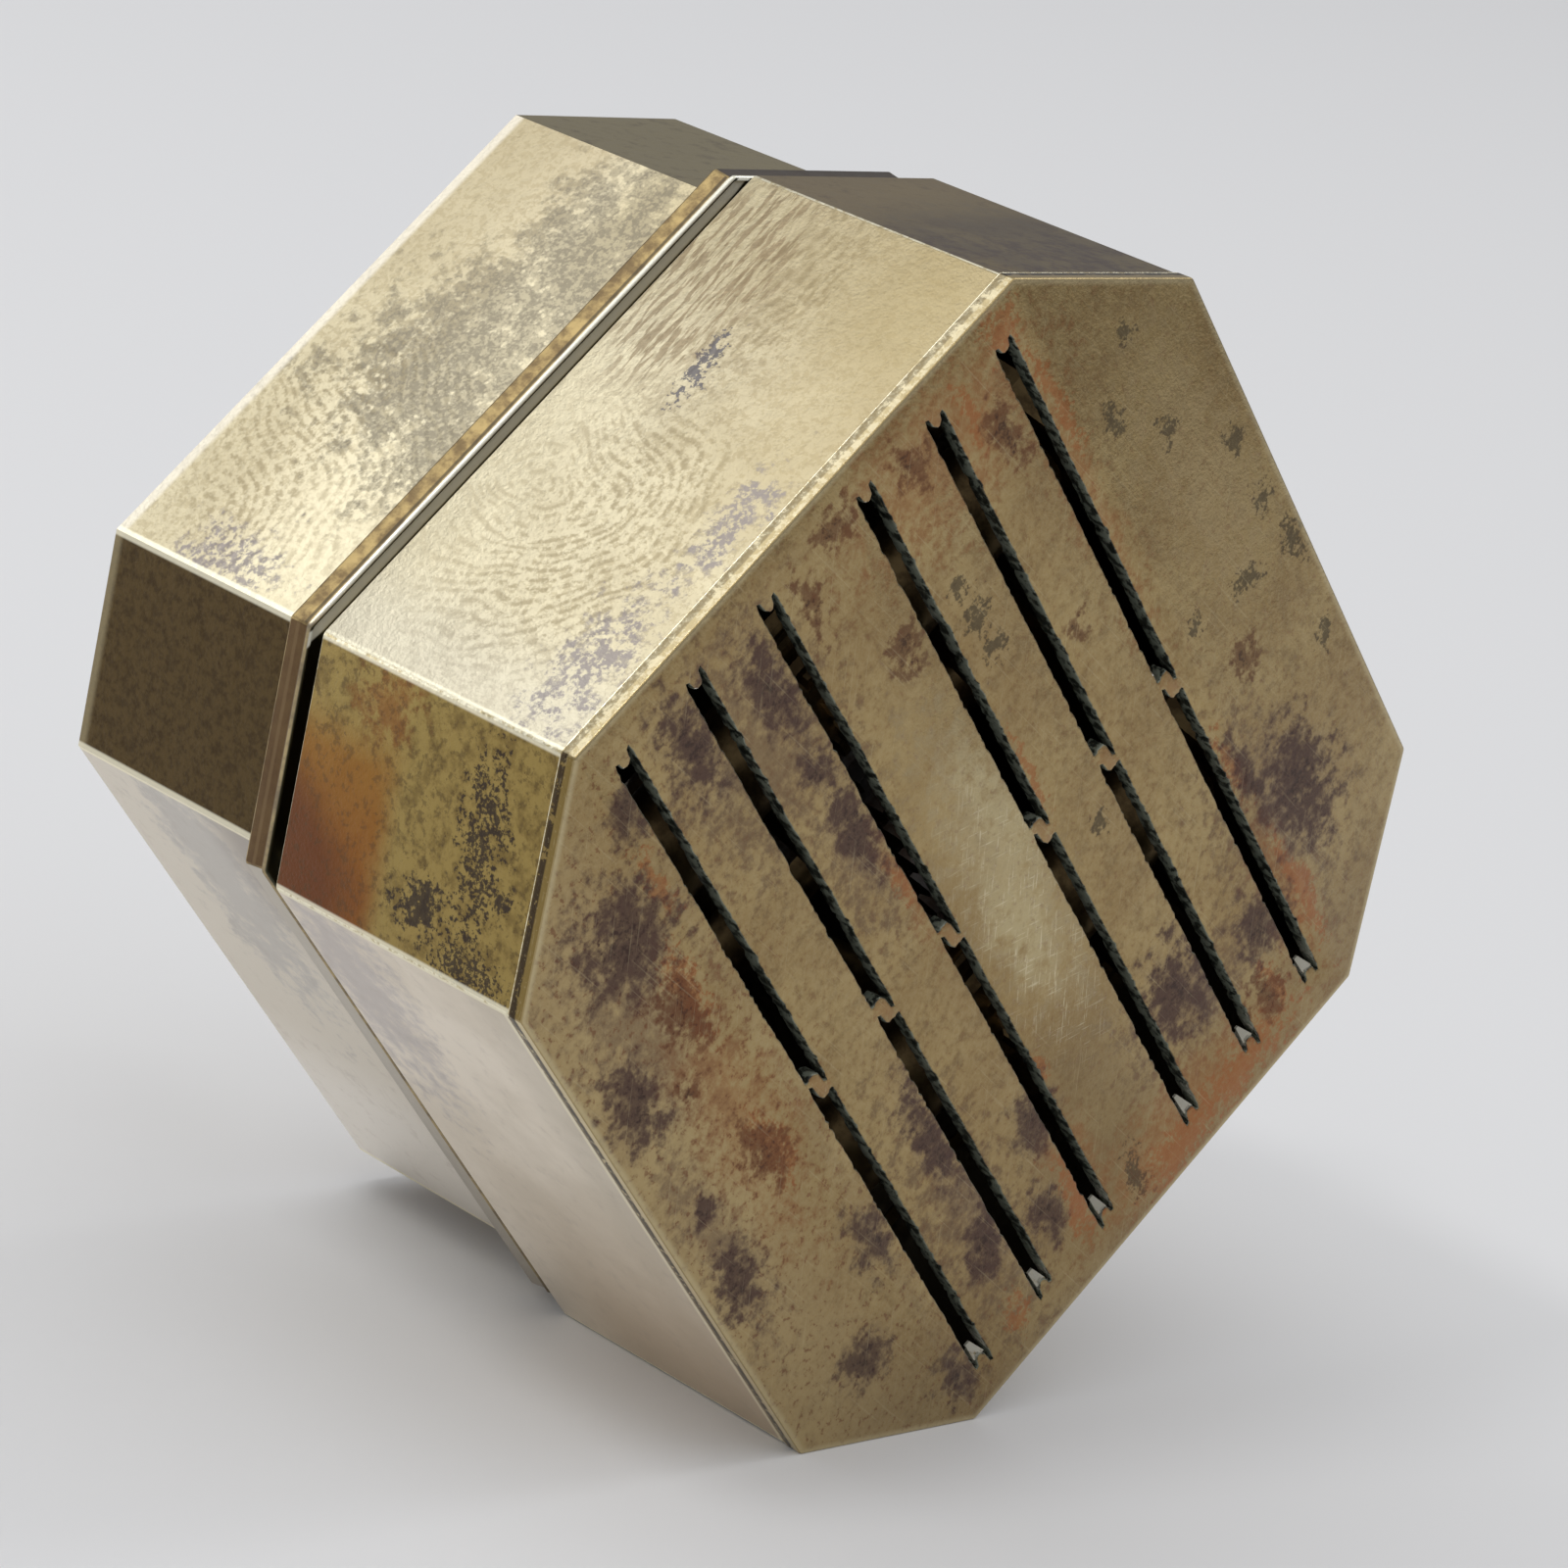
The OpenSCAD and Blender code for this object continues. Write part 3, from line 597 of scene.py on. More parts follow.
def slotted_face_colour(f):
    """The slotted face: dull gold, a scratched pale strip that is partly a painted highlight, a painted
    highlight in its middle, purple and red stains, copper round the slots.
    """
    colour = f.mix(f.band(f.cloud, 0.36, 0.62), KHAKI, BROWN_KHAKI)
    colour = f.mix(f.times(f.band(f.broken, 0.42, 0.66), 0.36), colour, FACE_DULL)
    colour = f.mix(f.times(f.band(f.mottle, 0.48, 0.66), 0.16), colour, FACE_GRIME)
    colour = f.mix(f.times(f.band(f.gritty, 0.55, 0.36), 0.16), colour, FACE_WORN)
    bare = f.most(f.band(f.near_y, -12, -16.5), f.patch(on_face(-7, 16, 9, 3), f.broken))
    colour = f.mix(f.times(bare, 0.4), colour, FACE_BARE)
    # a worn, scratched pale strip that is partly a painted highlight
    strip = f.patch(on_face(0.2, 0.6, 8.5, 2.4), f.broken, 0.56, 0.16)
    colour = f.mix(f.times(strip, 0.36), colour, PALE)
    dim = f.most(
        f.spot(on_face(14.2, -1.4, 6.2, 4.2), 1.25, 0.4),
        f.times(f.band(f.near_x, 13.0, 18.0), 0.6),
    )
    colour = f.mix(f.times(dim, 0.42), colour, FACE_DIM)
    # painted highlight in the middle of the face, in and beside the strip
    face_highlight = f.most(
        f.spot(on_face(-2.5, 1.5, 5.0, 1.2), 1.3, 0.3),
        f.spot(on_face(3.0, 0.0, 4.0, 1.5), 1.3, 0.3),
    )
    colour = f.mix(f.times(face_highlight, f.band(f.mottle, 0.30, 0.60), 0.5), colour, FACE_HIGHLIGHT)
    scuffs = f.most(f.streaks(-34, 9, 1.6, 0.56, 0.68), f.streaks(63, 10, 1.3, 0.58, 0.70))
    scuffs = f.most(scuffs, f.times(f.band(f.fine, 0.56, 0.66), f.band(f.cells, 0.48, 0.6)))
    scuffed = f.times(f.spot(on_face(3.0, 0.2, 9.5, 2.6), 1.2, 0.4), f.band(f.mottle, 0.40, 0.54))
    colour = f.mix(f.times(scuffs, scuffed, 0.5), colour, FACE_SCUFF)
    dusk = f.stain(f.inside(f.near, PURPLE_HAZE), f.broken, 0.60, 0.16)
    colour = f.mix(f.times(dusk, 0.5), colour, FACE_DUSK)
    blush = f.stain(f.inside(f.near, RED_HAZE), f.broken, 0.62, 0.16)
    colour = f.mix(f.times(blush, 0.5), colour, FACE_BLUSH)
    low_zone = f.band(f.y, -8.0, -12.5)
    specks = f.band(f.gritty, 0.58, 0.66)
    colour = f.mix(f.times(specks, f.calc("MULTIPLY_ADD", low_zone, 0.35, 0.25)), colour, RUST)
    copper = f.stain(f.inside(f.near, COPPER_STAINS), f.gritty, 0.60, 0.10)
    colour = f.mix(f.times(copper, 0.62), colour, COPPER)
    near_red = f.inside(f.near, RED_STAINS)
    red = f.stain(near_red, f.broken, 0.60, 0.11)
    colour = f.mix(f.times(red, 0.62), colour, FACE_RED)
    near_purple = f.inside(f.near, PURPLE_STAINS)
    under = f.stain(near_purple, f.mottle, 0.60, 0.24, 0.5)
    colour = f.mix(f.times(under, 0.55), colour, FACE_UNDER)
    purple = f.stain(near_purple, f.broken, 0.60, 0.12)
    colour = f.mix(f.times(purple, 0.56), colour, PURPLE)
    grey = f.stain(f.inside(f.near, GREY_RINGS), f.gritty, 0.62, 0.08)
    colour = f.mix(f.times(grey, 0.68), colour, SLATE)
    heart = f.stain(f.most(near_red, near_purple), f.gritty, 0.82, 0.10)
    colour = f.mix(f.times(heart, 0.55), colour, BLACK)
    bridge = f.stain(f.inside(f.p, BRIDGES), f.gritty, 0.60, 0.12)
    colour = f.mix(f.times(bridge, 0.6), colour, FACE_BRIDGE)
    glints = f.stain(f.inside(f.p, BRIDGE_GLINTS + LEFT_GLINTS), f.gritty, 0.60, 0.06, 0.6)
    colour = f.mix(glints, colour, GLINT)
    rim = f.times(f.band(f.reach, -0.35, -0.08), 0.6)
    return f.mix(rim, colour, PALE), f.most(purple, red, grey)


def ridges(f, at, centre, squash, gap_mm):
    """Fingerprint ridges round a centre on the end facet, broken as a real print is."""
    away = f.vec("MULTIPLY", f.vec("SUBTRACT", at, centre), squash)
    rings = f.calc("SINE", f.calc("MULTIPLY", f.vec("LENGTH", away, out="Value"), 2 * math.pi / gap_mm))
    return f.times(f.band(rings, -0.7, 0.9), f.band(f.cells, 0.38, 0.56))


END_LIGHT = (0.69, 0.62, 0.43)
END_DARK = (0.59, 0.52, 0.35)
END_GRIT = (0.37, 0.30, 0.17)
END_PRINT = (0.34, 0.265, 0.145)
END_BROWN = (0.34, 0.27, 0.18)
END_DUSK = (0.34, 0.27, 0.16)
END_FRONT = (0.40, 0.315, 0.155)
END_CLEAN = (0.92, 0.84, 0.60)
END_REAR = (0.38, 0.32, 0.19)
END_COOL = (0.70, 0.68, 0.60)
END_GOLD = (0.34, 0.26, 0.10)
END_TARNISH = (0.16, 0.14, 0.105)
END_FLECK = (0.12, 0.12, 0.15)
END_STROKE = (0.24, 0.165, 0.09)


def end_colour(f):
    """The end facet seen bright: pale brass, fingerprints, grey and lilac tarnish, a mottled rear, and
    painted highlights along its rims and edges.
    """
    base = f.mix(f.band(f.cloud, 0.4, 0.65), END_LIGHT, END_DARK)
    drift = f.vec("SCALE", f.noise(0.22, 1, 0.4, out="Color"), scale=3.4)
    print_at = f.vec("ADD", f.p, drift)
    whorl = f.times(
        ridges(f, print_at, (0, -1.4, 12.8), (0, 1, 0.8), 0.40),
        f.spot(on_end(-4.5, 8.2, 7.0, 6.0), 1.2, 0.7),
    )
    arches = f.times(
        ridges(f, print_at, (0, 10.5, 36.5), (0, 0.7, 1), 0.42),
        f.spot(on_end(8.5, 10.5, 6.5, 4.2), 1.2, 0.7),
    )
    rear_print = f.times(
        ridges(f, print_at, (0, -9.5, 33.0), (0, 1, 0.7), 0.42),
        f.spot(on_end(-5.0, 21.5, 7, 6), 1.2, 0.7),
    )
    prints = f.most(whorl, arches, rear_print)
    colour = f.mix(f.times(f.band(f.gritty, 0.46, 0.60), 0.40), base, END_GRIT)
    colour = f.mix(f.times(prints, 0.24), colour, END_PRINT)
    browned = f.patch(on_end(7.8, 10.4, 7.5, 4.2), f.broken, 0.58, 0.14)
    colour = f.mix(f.times(browned, 0.3), colour, END_BROWN)
    dusk = f.band(f.near_y, -4, 14)
    colour = f.mix(f.times(dusk, 0.50), colour, END_DUSK)
    cover_front = f.times(f.band(f.depth, 8.5, 1.0), f.band(f.y, -7.0, 4.0))
    colour = f.mix(f.times(cover_front, 0.45), colour, END_FRONT)
    cleaner = f.times(f.band(f.depth, 7.0, 12.5), f.band(f.depth, 22.5, 20.0))
    colour = f.mix(f.times(cleaner, 0.42), colour, END_CLEAN)
    rear_end = f.times(f.band(f.depth, 22.5, 25.5), 0.3)
    colour = f.mix(rear_end, colour, END_REAR)
    cool = f.times(f.band(f.y, -7.0, -11.5), f.band(f.depth, 14.5, 13.5))
    colour = f.mix(f.times(cool, 0.35), colour, END_COOL)
    golden = f.times(f.band(f.y, 3.0, 10.0), f.band(f.depth, 21.0, 18.5))
    colour = f.mix(f.times(golden, 0.28), colour, END_GOLD)
    haze = f.most(
        f.patch(on_end(-8.6, 2.7, 4.6, 2.0), f.broken, 0.62, 0.12),
        f.patch(on_end(-2.0, 2.1, 3.4, 1.1), f.broken, 0.60, 0.12),
        f.patch(on_end(-10.9, 21.8, 2.2, 3.0), f.broken, 0.60, 0.12),
    )
    colour = f.mix(f.times(haze, f.band(f.gritty, 0.40, 0.56), 0.75), colour, LILAC)
    rear = f.most(
        f.patch(on_end(0.5, 20.5, 5.6, 6.0), f.broken, 0.58, 0.11),
        f.patch(on_end(6.6, 18.8, 6.5, 3.8), f.broken, 0.56, 0.11),
        f.patch(on_end(-2.6, 18.2, 4.2, 2.4), f.broken, 0.58, 0.11),
    )
    grit = f.calc("MULTIPLY_ADD", f.band(f.gritty, 0.62, 0.44), 0.5, 0.5)
    rear = f.times(rear, f.band(f.depth, 15.8, 16.4), grit)
    colour = f.mix(f.times(rear, 0.75), colour, END_TARNISH)
    flecks = f.patch(on_end(3.8, 8.7, 2.2, 0.9), f.gritty, 0.70, 0.04)
    colour = f.mix(f.times(flecks, 0.8), colour, END_FLECK)
    strokes = f.noise(1, 3, 0.6, at=f.stretched((0, 0, 0), (1, 1.7, 0.26)))
    stroked = f.times(f.band(strokes, 0.47, 0.56), f.spot(on_end(7.6, 11.6, 6.4, 3.0), 1.2, 0.6))
    colour = f.mix(f.times(stroked, 0.62), colour, END_STROKE)
    # painted highlight along the front and rear rims
    rims = f.most(f.band(f.depth, 0.5, 0.2), f.band(f.depth, 27.0, 27.3))
    colour = f.mix(f.times(rims, 0.6), colour, GLINT)
    # painted highlight along the facet's edges, strongest at the low end and fading upward
    low_end = f.band(f.y, 4.0, -4.0)
    return f.mix(f.times(f.arris, low_end, 0.9), colour, ARRIS_HIGHLIGHT), prints


def seam(f):
    """The soldered seam behind the slotted plate, where dirt has settled unevenly."""
    line = f.times(f.band(f.depth, 0.34, 0.42), f.band(f.depth, 0.74, 0.64))
    return f.times(line, f.band(f.gritty, 0.34, 0.46))


CORNER_OLIVE = (0.34, 0.245, 0.080)
CORNER_SHADE = (0.22, 0.152, 0.050)
CORNER_AMBER = (0.31, 0.15, 0.028)
CORNER_BURNT = (0.26, 0.085, 0.014)
CORNER_DEEP = (0.14, 0.048, 0.02)
CORNER_RED = (0.25, 0.09, 0.025)
CORNER_GRIT = (0.09, 0.06, 0.03)
CORNER_REAR = (0.105, 0.07, 0.029)
CORNER_REAR_DARK = (0.065, 0.042, 0.019)


def low_corner_colour(f):
    """The corner facet on the left: olive gold going amber to the rear of the cover, dark brown behind."""
    low_side = f.band(f.along((1, -1, 0)), -8.0, 4.0)
    smooth_depth = f.calc("MULTIPLY_ADD", f.cloud, 3.0, f.depth)
    colour = f.mix(f.band(f.broken, 0.38, 0.66), CORNER_OLIVE, CORNER_SHADE)
    amber = f.times(f.band(smooth_depth, 9.6, 11.2), f.band(low_side, 0.05, 0.4))
    burnt = f.mix(low_side, CORNER_AMBER, CORNER_BURNT)
    colour = f.mix(f.times(amber, 0.85), colour, burnt)
    deep = f.times(f.band(f.calc("MULTIPLY_ADD", low_side, 8.0, smooth_depth), 17.5, 21.5), 0.85)
    colour = f.mix(deep, colour, CORNER_DEEP)
    reddened = f.patch(((-20.2, -13.1, 9.5), (1.6, 1.6, 1.8)), f.broken, 0.58, 0.12)
    colour = f.mix(f.times(reddened, 0.6), colour, CORNER_RED)
    colour = f.mix(f.times(f.band(f.gritty, 0.54, 0.62), 0.4), colour, CORNER_GRIT)
    dark = f.most(
        f.times(
            f.patch(((-17.6, -15.6, 3.7), (4.4, 4.4, 1.3)), f.gritty, 0.63, 0.06),
            f.band(f.fine, 0.38, 0.5),
        ),
        f.patch(((-15.4, -17.8, 6.2), (1.1, 1.1, 1.3)), f.gritty, 0.56, 0.08),
        f.patch(((-16.6, -16.6, 2.3), (0.7, 0.7, 0.7)), f.gritty, 0.58, 0.08),
        f.patch(((-14.6, -18.7, 3.4), (1.4, 1.4, 3.0)), f.fine, 0.68, 0.06),
    )
    colour = f.mix(f.times(dark, 0.85), colour, BLACK)
    behind = f.mix(f.band(f.gritty, 0.38, 0.7), CORNER_REAR, CORNER_REAR_DARK)
    colour = f.mix(f.band(f.depth, COVER_END, CASE_START), colour, behind)
    # painted highlight along the front and rear rims and along the facet's edges
    rims = f.most(f.band(f.depth, 0.45, 0.15), f.times(f.band(f.depth, 27.0, 27.4), 0.7))
    colour = f.mix(f.times(rims, 0.5), colour, PALE)
    colour = f.mix(f.times(f.arris, 0.7), colour, ARRIS_HIGHLIGHT)
    return f.mix(f.times(seam(f), 0.9), colour, BLACK)


SIDE_PALE_REFLECTION = (0.95, 0.87, 0.75)
SIDE_DIM_REFLECTION = (0.84, 0.76, 0.64)
SIDE_REAR_REFLECTION = (0.80, 0.74, 0.64)
SIDE_HAZE = (0.46, 0.43, 0.46)
SIDE_FRONT = (0.52, 0.47, 0.38)
SIDE_REAR_HAZE = (0.42, 0.42, 0.44)
SIDE_REAR_LEFT = (0.30, 0.26, 0.24)
SIDE_REAR_RIGHT_REFLECTION = (1.0, 0.96, 0.90)
SIDE_LOW = (0.62, 0.50, 0.36)
SIDE_MOTTLE = (0.52, 0.45, 0.37)
SIDE_RIM_HIGHLIGHT = (1.0, 0.93, 0.72)
SIDE_LINE = (0.07, 0.05, 0.03)


def side_colour(f):
    """The lower side: pale and grey, browner toward the low end. Its pale base and a near-white patch at the
    rear right are painted reflection, and its rims and edges carry painted highlights.
    """
    # painted reflection: the base is raised toward white to stand in for the bright floor that the facet
    # reflects
    base = f.mix(f.band(f.cloud, 0.35, 0.65), SIDE_PALE_REFLECTION, SIDE_DIM_REFLECTION)
    base = f.mix(f.band(f.depth, 13.9, 14.1), base, SIDE_REAR_REFLECTION)
    haze = f.patch(on_side(-9.5, 11.6, 7.0, 2.8), f.mottle, 0.54, 0.18)
    colour = f.mix(f.times(haze, 0.5), base, SIDE_HAZE)
    colour = f.mix(f.times(f.band(f.depth, 4.5, 2.0), 0.28), colour, SIDE_FRONT)
    rear_haze = f.patch(on_side(-8, 22.0, 9.0, 3.0), f.mottle, 0.56, 0.12)
    colour = f.mix(f.times(rear_haze, 0.4), colour, SIDE_REAR_HAZE)
    by_collar = f.times(f.band(f.x, -3.0, -11.0), f.band(f.depth, 21.5, 18.0))
    rear_left = f.times(by_collar, f.band(f.depth, 14.5, 15.5))
    colour = f.mix(f.times(rear_left, 0.6), colour, SIDE_REAR_LEFT)
    # painted reflection: a near-white patch at the rear right
    rear_right_reflection = f.times(f.band(f.x, 2.0, 9.0), f.band(f.depth, 15.0, 16.0))
    colour = f.mix(f.times(rear_right_reflection, 0.6), colour, SIDE_REAR_RIGHT_REFLECTION)
    low = f.times(f.band(f.near_x, -3, 13), f.band(f.depth, 15, 8))
    colour = f.mix(f.times(low, 0.75), colour, SIDE_LOW)
    colour = f.mix(f.times(f.band(f.mottle, 0.52, 0.7), 0.2), colour, SIDE_MOTTLE)
    # painted highlight along the front rim and on both sides of the seam
    rim = f.most(f.band(f.depth, 0.5, 0.15), f.times(f.band(f.depth, 0.86, 0.98), f.band(f.depth, 1.22, 1.1)))
    colour = f.mix(f.times(rim, 0.7), colour, SIDE_RIM_HIGHLIGHT)
    line = f.times(f.band(f.depth, 0.36, 0.46), f.band(f.depth, 0.98, 0.84))
    gritty_line = f.times(line, f.band(f.gritty, 0.34, 0.44))
    colour = f.mix(f.times(gritty_line, 0.9), colour, SIDE_LINE)
    # painted highlight along the facet's edges
    return f.mix(f.times(f.arris, 0.85), colour, ARRIS_HIGHLIGHT)


TOP_BROWN = (0.21, 0.150, 0.060)
TOP_DARK = (0.15, 0.104, 0.048)
TOP_GOLD = (0.36, 0.26, 0.105)
TOP_BLOOM = (0.07, 0.036, 0.04)
TOP_REAR = (0.31, 0.255, 0.125)
TOP_MOTTLE = (0.07, 0.042, 0.035)


def top_corner_colour(f):
    """The corner facet on top: brown, gold near the collar, a purple bloom near the slotted face."""
    colour = f.mix(f.band(f.cloud, 0.4, 0.6), TOP_BROWN, TOP_DARK)
    gold = f.times(f.band(f.calc("MULTIPLY_ADD", f.mottle, 6.0, f.depth), 9.0, 15.0), 0.7)
    colour = f.mix(gold, colour, TOP_GOLD)
    bloom = f.times(f.band(f.depth, 9.0, 4.0), f.band(f.broken, 0.44, 0.60))
    colour = f.mix(f.times(bloom, 0.5), colour, TOP_BLOOM)
    colour = f.mix(f.band(f.depth, COVER_END, CASE_START), colour, TOP_REAR)
    return f.mix(f.times(f.band(f.mottle, 0.5, 0.7), 0.45), colour, TOP_MOTTLE)


AGED_GOLD = (0.44, 0.33, 0.155)
AGED_BROWN = (0.31, 0.22, 0.10)
AGED_DULL = (0.21, 0.14, 0.066)
AGED_BLOOM = (0.13, 0.08, 0.065)


def aged_colour(f):
    """Old brass where nothing rubs it: dull gold going brown, with a purple bloom here and there."""
    colour = f.mix(f.band(f.cloud, 0.38, 0.60), AGED_GOLD, AGED_BROWN)
    colour = f.mix(f.times(f.band(f.broken, 0.44, 0.66), 0.5), colour, AGED_DULL)
    bloom = f.times(f.band(f.cloud, 0.50, 0.62), f.band(f.broken, 0.50, 0.62))
    colour = f.mix(f.times(bloom, 0.55), colour, AGED_BLOOM)
    return f.mix(f.times(f.band(f.gritty, 0.60, 0.66), 0.35), colour, RUST)


PLATE_DULL = (0.22, 0.17, 0.105)


def plate_colour(f):
    """The plate round the lever: aged like the box, with a print-dulled middle and a paler rim."""
    dulled = f.patch(((3, 2, 27.6), (13, 11, THROUGH)), f.broken, 0.58, 0.12)
    colour = f.mix(f.times(dulled, 0.4), aged_colour(f), PLATE_DULL)
    colour = f.mix(f.times(f.band(f.reach, -3.0, -1.6), 0.35), colour, PALE)
    scratches = f.times(f.most(f.streaks(25, 9, 5, 0.62, 0.72), f.streaks(-50, 11, 4, 0.63, 0.72)), 0.2)
    return f.mix(scratches, colour, PALE)


def metal_relief(f):
    """Slow waves from wear, and the fine grain of old brass, in millimetres."""
    relief = f.calc("MULTIPLY_ADD", f.cloud, 0.10, f.times(f.fine, 0.02))
    return f.calc("MULTIPLY_ADD", f.cells, -0.012, relief)


RIM_GOLD = (0.38, 0.29, 0.14)
RIM_CORNER = (0.25, 0.175, 0.06)
RIM_WORN_HIGHLIGHT = (0.66, 0.58, 0.38)
RIM_WORN_HIGHLIGHT_DARK = (0.50, 0.41, 0.23)
RIM_SIDE_HIGHLIGHT = (0.78, 0.66, 0.42)
SEAM_DIRT = (0.05, 0.034, 0.02)
SLOT_GREEN = (0.22, 0.24, 0.19)
SLOT_DARK = (0.02, 0.023, 0.018)
TAB_HIGHLIGHT = (0.52, 0.50, 0.42)


def sole_finish():
    """The slotted plate: its stained face, its worn rims with painted highlights, the dark sides of its
    slots, and painted highlights on the bent tabs.
    """
    f = Shell("sole_brass")
    rim = f.mix(f.facing(LOW_CORNER), RIM_GOLD, RIM_CORNER)
    # worn rim with a painted highlight on the end facet's side, and a pale painted highlight on the lower
    # side's rim
    worn = f.mix(f.band(f.gritty, 0.42, 0.6), RIM_WORN_HIGHLIGHT, RIM_WORN_HIGHLIGHT_DARK)
    rim = f.mix(f.facing(END), rim, worn)
    rim = f.mix(f.facing(SIDE), rim, RIM_SIDE_HIGHLIGHT)
    rim = f.mix(f.times(seam(f), f.blend(f.facing(END), 0.95, 0.45)), rim, SEAM_DIRT)
    lips = f.mix(f.band(f.cells, 0.46, 0.56), SLOT_GREEN, SLOT_DARK)
    colour = f.mix(f.band(f.reach, -0.1, -0.4), rim, lips)
    face, stained = slotted_face_colour(f)
    colour = f.mix(f.band(f.along(SLOTTED, f.normal), 0.6, 0.9), colour, face)
    # painted highlight: the bent tabs are made pale to show as glints
    tab = f.times(f.stain(f.inside(f.p, END_GLINTS), f.gritty, 0.5, 0.12), f.band(f.depth, 0.04, 0.1))
    colour = f.mix(tab, colour, TAB_HIGHLIGHT)
    scratches = f.times(f.most(f.streaks(12, 9, 5, 0.62, 0.72), f.streaks(-38, 11, 4, 0.63, 0.72)), 0.18)
    colour = f.mix(scratches, colour, PALE)
    rough = f.blend(stained, f.blend(f.mottle, 0.25, 0.38), 0.46)
    slot_wall = f.times(f.band(f.reach, -0.1, -0.4), f.band(f.along(SLOTTED, f.normal), 0.9, 0.6))
    return f.finish(colour, f.blend(slot_wall, 1.0, 0.2), rough, f.bump(metal_relief(f)))


WALL_WORN_HIGHLIGHT = (0.66, 0.56, 0.33)
WALL_INSIDE_SHADE = (0.04, 0.032, 0.02)


def wall_finish(name, inside_from, plate=False):
    """The box's walls, each facet with the tarnish that it shows, worn edges with painted highlights, and
    painted shade where they face inward.
    """
    f = Shell(name)
    # worn edges with a painted highlight: the rounded strips between the facets that face the box's end are
    # made bright
    colour = f.mix(f.band(f.gritty, 0.46, 0.66), ARRIS_HIGHLIGHT, WALL_WORN_HIGHLIGHT)
    worn_lit_edges = f.most(f.along((-1, 0, 0), f.normal), f.band(f.along(LOW_CORNER, f.normal), 1.0, 1.3))
    colour = f.mix(f.band(worn_lit_edges, 0.1, 0.3), aged_colour(f), colour)
    end, printed = end_colour(f)
    on_end = f.facing(END)
    on_side = f.facing(SIDE)
    colour = f.mix(on_end, colour, end)
    colour = f.mix(f.facing(LOW_CORNER), colour, low_corner_colour(f))
    colour = f.mix(on_side, colour, side_colour(f))
    colour = f.mix(f.facing(TOP_CORNER), colour, top_corner_colour(f))
    # painted shade: the faces that look inward are made near black
    colour = f.mix(f.band(f.reach, -inside_from - 0.1, -inside_from + 0.1), WALL_INSIDE_SHADE, colour)
    if plate:
        rearward = f.times(f.band(f.along((0, 0, 1), f.normal), 0.6, 0.9), f.band(f.depth, 27.0, 27.3))
        colour = f.mix(rearward, colour, plate_colour(f))
    rough = f.blend(f.mottle, 0.26, 0.40)
    rough = f.blend(f.times(printed, on_end), rough, 0.5)
    rough = f.blend(on_side, rough, 0.5)
    return f.finish(colour, 1.0, rough, f.bump(metal_relief(f)))


COLLAR_GOLD = (0.46, 0.34, 0.15)
COLLAR_BROWN = (0.20, 0.14, 0.07)
COLLAR_CORNER_DARK = (0.12, 0.07, 0.036)
COLLAR_LINE = (0.23, 0.155, 0.08)
COLLAR_SIDE = (0.58, 0.53, 0.45)
COLLAR_TOP = (0.07, 0.045, 0.025)
COLLAR_THIN_LINE = (0.08, 0.065, 0.045)
COLLAR_EDGE_HIGHLIGHT = (0.80, 0.79, 0.68)
COLLAR_GAP_SHADE = (0.06, 0.06, 0.042)
COLLAR_LIT = (0.85, 0.85, 0.74)


def collar_finish():
    """The stop collar: painted shade in the gap with a painted pale line in it, a worn front edge with a
    painted highlight, brown and gold along its band.
    """
    f = Finish("collar_brass")
    mottle = f.noise(1.3, 5, 0.62)
    depth = f.along((0, 0, 1))
    colour = f.mix(f.band(mottle, 0.35, 0.65), COLLAR_GOLD, COLLAR_BROWN)
    lines = f.band(f.calc("SINE", f.calc("MULTIPLY", depth, 13.0)), 0.2, 0.9)
    on_corner = f.facing(LOW_CORNER)
    colour = f.mix(f.times(on_corner, 0.9), colour, COLLAR_CORNER_DARK)
    colour = f.mix(f.times(on_corner, lines, 0.55), colour, COLLAR_LINE)
    colour = f.mix(f.facing(SIDE), colour, COLLAR_SIDE)
    colour = f.mix(f.facing(TOP_CORNER), colour, COLLAR_TOP)
    low_side = f.band(f.along((-1, 1, 0)), 8.0, 10.0)
    # a thin darker line across the band on the end facet
    thin_dark_line = f.times(f.band(depth, 15.40, 15.34), f.band(depth, 15.20, 15.26), f.facing(END))
    colour = f.mix(f.times(thin_dark_line, 0.8), colour, COLLAR_THIN_LINE)
    # worn front edge with a painted highlight
    worn = f.times(f.band(depth, 15.22, 15.14), f.blend(low_side, 0.12, 0.9))
    colour = f.mix(worn, colour, COLLAR_EDGE_HIGHLIGHT)
    # painted shade on the front face inside the gap
    forward = f.band(f.along(SLOTTED, f.normal), 0.6, 0.9)
    end_reach = f.along(END)
    inner = f.times(f.band(end_reach, 20.56, 20.50), forward)
    colour = f.mix(inner, colour, COLLAR_GAP_SHADE)
    # painted light: a pale, barely metallic line across the front face inside the gap
    lit = f.times(f.band(end_reach, 20.46, 20.38), f.band(end_reach, 19.94, 20.04), forward)
    colour = f.mix(lit, colour, COLLAR_LIT)
    rough = f.blend(mottle, 0.25, 0.45)
    return f.finish(colour, f.blend(lit, 1.0, 0.15), rough, f.bump(f.times(f.noise(5, 3, 0.6), 0.01)))


def plain_metal(name, light, dark, rough=0.35):
    """One metal of the mechanism, mottled between two colours."""
    f = Finish(name)
    mottle = f.noise(0.8, 5, 0.6)
    colour = f.mix(f.band(mottle, 0.38, 0.64), light, dark)
    relief = f.times(f.noise(6, 3, 0.6), 0.006)
    return f.finish(colour, 1.0, f.blend(mottle, rough - 0.08, rough + 0.12), f.bump(relief))


